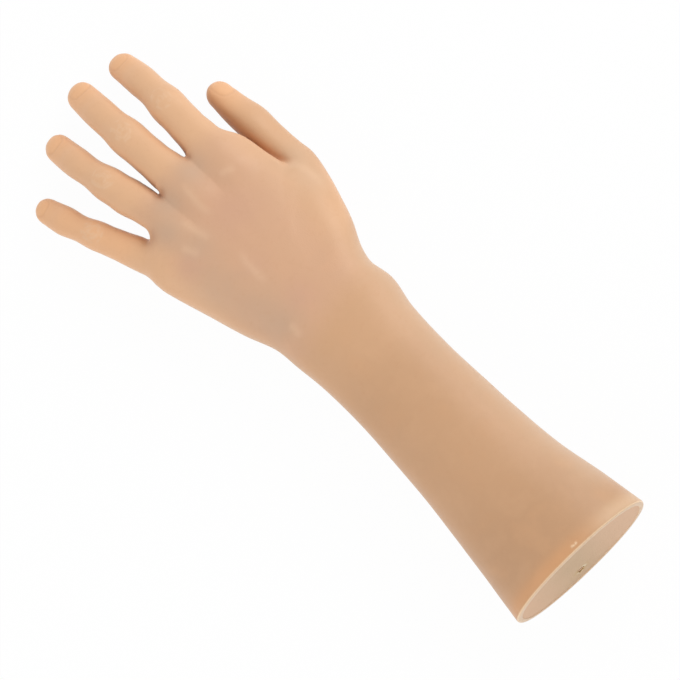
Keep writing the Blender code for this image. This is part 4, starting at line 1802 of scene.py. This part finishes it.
@dataclass(frozen=True)
class SkinFinish:
    """Pigmented silicone with a satin sheen, tinted by hand on knuckles, fingertips and back of the hand,
    with painted shade in creases, slits and the thumb's crevice, and painted sheen and highlights on the
    lamp-facing side, the streaks and the rim.
    """

    base: Colour = (0.765, 0.453, 0.259)
    # tan colour, also the painted shade on the forearm's upper side
    tan: Colour = (0.545, 0.312, 0.170)
    warm: Colour = (0.86, 0.470, 0.245)
    # painted sheen on the side that faces the key lamp
    side: Colour = (0.66, 0.460, 0.310)
    dorsum: Colour = (0.670, 0.392, 0.240)
    grey: Colour = (0.575, 0.385, 0.262)
    mauve: Colour = (0.650, 0.370, 0.245)
    # painted shade: the dark colour put into creases, the slits between the fingers, the webs, the nail
    # grooves and the thumb's crevice
    crease: Colour = (0.34, 0.125, 0.060)
    # painted shade on the thumb's inner side, in its crevice and on the crevice's linings; also the colour of
    # the random dark specks
    shade: Colour = (0.52, 0.220, 0.098)
    # pale knuckle rings, and the painted highlight along the streaks over the tendons and veins
    pale: Colour = (0.80, 0.535, 0.345)
    nail: Colour = (0.86, 0.475, 0.245)
    rim_orange: Colour = (0.69, 0.350, 0.160)
    # cream band of the rim and the loose flake, and the painted highlight along the rim's rounded upper edge
    rim_cream: Colour = (0.93, 0.690, 0.450)
    rim_face: Colour = (0.84, 0.600, 0.390)
    strengths: tuple[tuple[str, float], ...] = (
        ("tan", 1.0), ("side", 0.5), ("dorsum", 0.9), ("mauve", 0.8), ("grey", 0.8), ("warm", 0.85),
        ("nail", 0.4), ("pale", 0.45), ("rim_orange", 0.7), ("rim_cream", 0.9), ("rim_face", 0.9),
        ("shade", 0.8), ("crease", 0.85),
    )
    patchy_tints: tuple[str, ...] = ("dorsum", "mauve", "grey", "tan")
    clouds: Pair = (0.06, 3.0)
    specks: Pair = (0.35, 4.0)
    pore_size: float = 0.7
    pore_depth: float = 0.00012
    roughness: float = 0.46
    sheen_tint: Colour = (0.90, 0.85, 0.80)

    def build(self) -> bpy.types.Material:
        """Make the material.

        Returns:
            The material.
        """
        material, graph = new_material("pigmented_silicone")
        place = graph.place("rest_place")
        clouds = graph.noise(place, *self.clouds)
        specks = graph.noise(place, *self.specks)
        colour = self.base
        for name, strength in self.strengths:
            patchy = (0.72 + 0.56 * clouds) if name in self.patchy_tints else 1.0
            colour = graph.mix((graph.value(name) * strength * patchy).held(), colour, getattr(self, name))
        colour = graph.mix(((clouds - 0.5) * 0.5).held(), colour, self.warm)
        colour = graph.mix(((specks - 0.55) * 0.35).held(), colour, self.shade)
        graph.principled({
            "Base Color": colour, "Roughness": self.roughness + 0.12 * (specks - 0.5),
            "Normal": graph.bump(graph.noise(place, 1 / self.pore_size), self.pore_depth, 0.6),
            "Specular IOR Level": 0.35, "Sheen Weight": 0.3, "Sheen Roughness": 0.4,
            "Sheen Tint": (*self.sheen_tint, 1.0)})
        return material


@dataclass(frozen=True)
class CoreFinish:
    """The firm core's uncoloured face, matt and a little cloudy, and stained round its support hole."""

    base: Colour = (0.83, 0.550, 0.370)
    cool: Colour = (0.67, 0.475, 0.305)
    dark: Colour = (0.46, 0.31, 0.18)
    stain: Colour = (0.66, 0.460, 0.230)
    pit: Colour = (0.58, 0.400, 0.170)
    torn: Colour = (0.96, 0.850, 0.660)
    strengths: tuple[tuple[str, float], ...] = (("stain", 0.6), ("torn", 0.85), ("pit", 0.9))
    clouds: Pair = (45.0, 4.0)
    specks: Pair = (400.0, 3.0)
    grain: Pair = (900.0, 3.0)
    grain_depth: float = 0.0002

    def build(self) -> bpy.types.Material:
        """Make the material.

        Returns:
            The material.
        """
        material, graph = new_material("uncoloured_core")
        place = graph.own_place()
        clouds = graph.noise(place, *self.clouds)
        colour = graph.mix((graph.value("cool") * (0.7 + 0.6 * clouds)).held(), self.base, self.cool)
        specks = graph.noise(place, *self.specks)
        colour = graph.mix((specks - 0.58).held(), colour, self.dark)
        for name, strength in self.strengths:
            colour = graph.mix(graph.value(name) * strength, colour, getattr(self, name))
        graph.principled({
            "Base Color": colour, "Roughness": 0.72 + 0.1 * clouds, "Specular IOR Level": 0.3,
            "Normal": graph.bump(graph.noise(place, *self.grain), self.grain_depth, 0.5)})
        return material


@dataclass(frozen=True)
class MetalFinish:
    """Drawn metal, with fine lines along its length."""

    name: str
    base: Colour
    roughness: float
    line_scale: Triple = (900.0, 40.0, 900.0)
    line_depth: float = 0.00005

    def build(self) -> bpy.types.Material:
        """Make the material.

        Returns:
            The material.
        """
        material, graph = new_material(self.name)
        sockets = {"Vector": graph.own_place(), "Scale": self.line_scale}
        lines = graph.noise(graph.node("ShaderNodeMapping", None, sockets), 1.0)
        colour = graph.mix(lines, tuple(0.82 * part for part in self.base), self.base)
        graph.principled({
            "Base Color": colour, "Metallic": 1.0, "Roughness": self.roughness + 0.15 * lines,
            "Normal": graph.bump(lines, self.line_depth)})
        return material


@dataclass(frozen=True)
class PlasticFinish:
    """Black moulded plastic with a fine grain."""

    base: Colour = (0.055, 0.055, 0.06)
    grain_scale: float = 1400.0
    grain_depth: float = 0.00008

    def build(self) -> bpy.types.Material:
        """Make the material.

        Returns:
            The material.
        """
        material, graph = new_material("moulded_plastic")
        grain = graph.noise(graph.own_place(), self.grain_scale)
        colour = graph.mix(grain, tuple(0.8 * part for part in self.base), self.base)
        graph.principled({
            "Base Color": colour, "Roughness": 0.5 + 0.1 * grain,
            "Normal": graph.bump(grain, self.grain_depth)})
        return material


@dataclass
class Armature:
    """The rod, the block, the ferrules and the five wires."""

    hand: HandFrame
    ferrule_length: float = 15.0
    wire_radius: float = 1.3
    end_margin: float = 8.0
    sides: int = 12
    step: float = 2.0

    def build(self) -> list[bpy.types.Object]:
        """Dress the nodes that stay, and make each wire in pieces, one for each segment of its digit.

        Returns:
            The wires' pieces.
        """
        rod = MetalFinish("drawn_steel", (0.62, 0.62, 0.64), 0.3).build()
        wire = MetalFinish("drawn_aluminium", (0.75, 0.76, 0.78), 0.35).build()
        dress("armature_rod", rod)
        dress("armature_block", PlasticFinish().build())
        made = []
        for digit in DIGITS:
            dress(f"ferrule_{digit.name}", wire)
            made += self.wires(digit, wire)
        return made

    def route(self, digit: DigitForm) -> tuple[Array, Array]:
        """Find a wire's path, from its ferrule over the base hinge to near the tip.

        Args:
            digit: The digit that the wire is in.

        Returns:
            The path in the hand's millimetres, and how far along the digit each of its points is.
        """
        low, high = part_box(f"ferrule_{digit.name}")
        ferrule = self.hand.hand(np.array((low + high) / 2))
        hinge = digit.place(0.0)
        ahead = (hinge - ferrule) / np.linalg.norm(hinge - ferrule)
        start = ferrule - ahead * self.ferrule_length / 2
        back = np.arange(-np.linalg.norm(hinge - start), -1.0, self.step)
        on = np.arange(0.0, digit.length - self.end_margin, self.step)
        path = [hinge + ahead * place for place in back] + [digit.place(place) for place in on]
        return np.array(path), np.concatenate([back, on])

    def wires(self, digit: DigitForm, material: bpy.types.Material) -> list[bpy.types.Object]:
        """Make one wire's pieces.

        Args:
            digit: The digit that the wire is in.
            material: Its finish.

        Returns:
            The pieces.
        """
        path, along = self.route(digit)
        ends = [along[0] - 1.0, *digit.seams, digit.length]
        made, parent = [], "palm"
        for i, word in enumerate(SEGMENT_NAMES[len(digit.lengths)]):
            first = np.searchsorted(along, ends[i])
            last = np.searchsorted(along, ends[i + 1])
            points, faces = tube(path[first:last + 1], self.wire_radius, self.sides)
            name, body = f"wire_{digit.name}_{word}", f"{digit.name}_{word}"
            piece = mesh_object(name, self.hand.row(points), faces, material)
            piece.data.set_sharp_from_angle(angle=SHARP_ANGLE)
            hinge, zone = digit.hinges[i], digit.zones[i]
            start, end = digit.place(hinge - zone), digit.place(hinge + zone)
            self.hand.row(start)
            self.hand.row(end)
            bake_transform(piece)
            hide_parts(f"wire_{digit.name}")
            made.append(piece)
            parent = body
        return made


def dress(node: str, material: bpy.types.Material) -> None:
    """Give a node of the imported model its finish.

    Args:
        node: The node's name.
        material: The finish.
    """
    mesh = frame["nodes"][node].data
    mesh.materials.clear()
    mesh.materials.append(material)


@dataclass
class CoreFace:
    """The firm core, and the uneven face that shows inside the rim, with the support hole in it."""

    hand: HandFrame
    arm: ArmForm = ArmForm()
    front: float = 0.4
    thickness: float = 0.5
    inset: float = 3.58
    hole: Pair = (-2.8, 21.0)
    hole_half_width: float = 2.3
    hole_half_height: float = 4.3
    cool_middle: float = -4.0
    cool_reach: float = 24.0
    raggedness: float = 0.22
    torn_turns: Pair = (0.9, 4.2)
    bit_size: float = 1.1
    bit_height: float = 0.38
    wobble_size: float = 9.0
    wobble_height: float = 0.10
    rings: int = 30
    ring_power: float = 1.8
    sides: int = 144

    def build(self) -> bpy.types.Object:
        """Dress the core and make its face.

        Returns:
            The face.
        """
        material = CoreFinish().build()
        dress("core_palm_forearm", material)
        rim = self.arm.outline(0.0, self.inset, self.sides)
        hole = np.array((self.hole[0], 0.0, self.hole[1]))
        ray = rim - hole
        half_width, half_height = self.hole_half_width, self.hole_half_height
        angle = np.arctan2(ray[:, 2] / half_height, ray[:, 0] / half_width)
        round_hole = [Vector((2 * math.cos(a), 2 * math.sin(a), 0.5)) for a in angle]
        ragged = np.array([1.0 + self.raggedness * noise.noise(place) for place in round_hole])
        reach = np.stack([half_width * np.cos(angle), 0 * angle, half_height * np.sin(angle)], axis=1)
        edge = hole + reach * ragged[:, None]
        more, less = (np.cos(angle - turn) for turn in self.torn_turns)
        torn_side = np.maximum(ease(0.2, 0.8, more), 0.8 * ease(0.5, 0.9, less))
        layers, off = [], []
        for share in np.linspace(0.0, 1.0, self.rings) ** self.ring_power:
            ring = edge + (rim - edge) * share
            away = np.linalg.norm(ring - edge, axis=1)
            wobble = np.array([noise.noise(Vector(place / self.wobble_size)) for place in ring])
            bits = np.array([noise.noise(Vector(place / self.bit_size)) for place in ring])
            ring[:, 1] = self.front + self.wobble_height * wobble * (1 - share)
            ring[:, 1] -= self.bit_height * bell(away - 0.7, 0.9) * torn_side * ease(-0.1, 0.3, bits)
            layers.append(ring)
            off.append(np.stack([away, torn_side * ease(-0.3, 0.15, bits)], axis=1))
        back = [layers[-1] + (0, self.thickness, 0), layers[0] + (0, self.thickness, 0)]
        points = np.concatenate([*layers, *back])
        away, torn = np.concatenate([*off, off[-1], off[0]]).T
        count = len(layers) + len(back)
        faces = [quad[:1] + quad[:0:-1] for quad in ring_quads(count, self.sides, closed=True)]
        face = mesh_object("core_face", self.hand.row(points), faces, material)
        face.data.set_sharp_from_angle(angle=SHARP_ANGLE)
        add_values(face, "cool", bell(points[:, 0] - self.cool_middle, self.cool_reach))
        add_values(face, "stain", bell(away, 3.0))
        add_values(face, "torn", bell(away - 0.8, 1.0) * torn)
        add_values(face, "pit", ease(0.25, 0.0, away))
        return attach(face, "palm")


@dataclass(frozen=True)
class SoftLamp:
    """A soft square lamp: its place in the row frame, its power in watts and its side."""

    name: str
    place: Triple
    power: float
    size: float = 0.9


@dataclass(frozen=True)
class Studio:
    """The pale floor, the soft lamps and the camera."""

    hand: HandFrame
    target: Triple = (-10.443, 180.15, 30.0)
    tilt: float = 12.0
    roll: float = 43.95
    distance: float = 5.0
    view_width: float = 0.3657
    sensor: float = 36.0
    side_light: float = 0.8
    top_light: float = 0.6
    floor_glow: float = 0.97
    floor_reach: float = 6.0
    lamps: tuple[SoftLamp, ...] = (
        SoftLamp("key_lamp", (1.15, 0.25, 0.8), 9.3),
        SoftLamp("fill_lamp", (-1.1, -0.3, 0.75), 4.4),
    )
    lamp_target: Triple = (0.0, 0.0, 0.02)

    def build(self) -> None:
        """Make the stage, the lamps and the camera."""
        self.floor()
        self.world()
        for lamp in self.lamps:
            self.add_lamp(lamp)
        self.camera()

    def floor(self) -> None:
        """Make the floor, which is white to the camera and keeps the object's shadow."""
        mesh = bpy.data.meshes.new("floor")
        far = self.floor_reach
        corners = [(-far, -far, 0), (far, -far, 0), (far, far, 0), (-far, far, 0)]
        mesh.from_pydata(corners, [], [(0, 1, 2, 3)])
        floor = bpy.data.objects.new("floor", mesh)
        bpy.context.scene.collection.objects.link(floor)
        material, graph = new_material("pale_floor")
        camera, glossy, through = (graph.node("ShaderNodeLightPath", output=name) for name in (
            "Is Camera Ray", "Is Glossy Ray", "Is Transmission Ray"))
        diffuse = graph.node("ShaderNodeBsdfDiffuse", None, {"Color": (0.9, 0.9, 0.9, 1.0)})
        glow = graph.node("ShaderNodeEmission", None, {"Color": (1.0, 1.0, 1.0, 1.0), "Strength": 1.0})
        share = (camera + glossy + through).held() * self.floor_glow
        graph.finish(graph.node("ShaderNodeMixShader", None, {0: share, 1: diffuse, 2: glow}))
        mesh.materials.append(material)

    def world(self) -> None:
        """Make the light from all round, stronger from the sides than from above."""
        world = bpy.data.worlds.new("studio")
        graph = Graph(world)
        direction = graph.node("ShaderNodeTexCoord", None, None, "Generated")
        height = graph.node("ShaderNodeSeparateXYZ", None, {"Vector": direction}, "Z")
        strength = self.side_light + (self.top_light - self.side_light) * graph.ramp(height, 0.1, 0.9)
        sockets = {"Color": (1.0, 1.0, 1.0, 1.0), "Strength": strength}
        graph.finish(graph.node("ShaderNodeBackground", None, sockets), "ShaderNodeOutputWorld")
        bpy.context.scene.world = world

    def add_lamp(self, lamp: SoftLamp) -> None:
        """Make a lamp that points at the hand.

        Args:
            lamp: What the lamp is like.
        """
        light = bpy.data.lights.new(lamp.name, "AREA")
        light.energy, light.size = lamp.power, lamp.size
        made = bpy.data.objects.new(lamp.name, light)
        made.location = lamp.place
        made.visible_camera = False
        made.rotation_mode = "QUATERNION"
        made.rotation_quaternion = (Vector(self.lamp_target) - Vector(lamp.place)).to_track_quat("-Z", "Y")
        bpy.context.scene.collection.objects.link(made)

    def camera(self) -> None:
        """Make the camera at the photograph's angle."""
        tilt = math.radians(self.tilt)
        x = Vector((1.0, 0.0, 0.0))
        y = Vector((0.0, math.cos(tilt), math.sin(tilt)))
        roll = math.radians(self.roll)
        right = math.cos(roll) * x - math.sin(roll) * y
        back = Vector((0.0, -math.sin(tilt), math.cos(tilt)))
        up = back.cross(right)
        data = bpy.data.cameras.new("camera")
        data.sensor_width = self.sensor
        data.lens = self.sensor * self.distance / self.view_width
        camera = bpy.data.objects.new("camera", data)
        turn = Matrix((right, up, back)).transposed()
        place = Vector(self.hand.row(np.array(self.target))) + back * self.distance
        camera.matrix_world = Matrix.Translation(place) @ turn.to_4x4()
        bpy.context.scene.collection.objects.link(camera)
        bpy.context.scene.camera = camera


def main() -> None:
    """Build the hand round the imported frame, and the studio."""
    logging.basicConfig(level=logging.INFO, format="%(message)s")
    hand = HandFrame.from_joint(FINGERS[0])
    Studio(hand).build()
    surface = SkinSurface(floor=-hand.shift[2] / MM)
    skin = SkinSheath(hand, SkinFinish().build(), surface).build()
    face = CoreFace(hand).build()
    for piece in (*skin, face, *Armature(hand).build()):
        LOG.info("%s: %d faces", piece.name, len(piece.data.polygons))
    bpy.context.scene.view_settings.view_transform = "Standard"


if __name__ == "__main__":
    main()
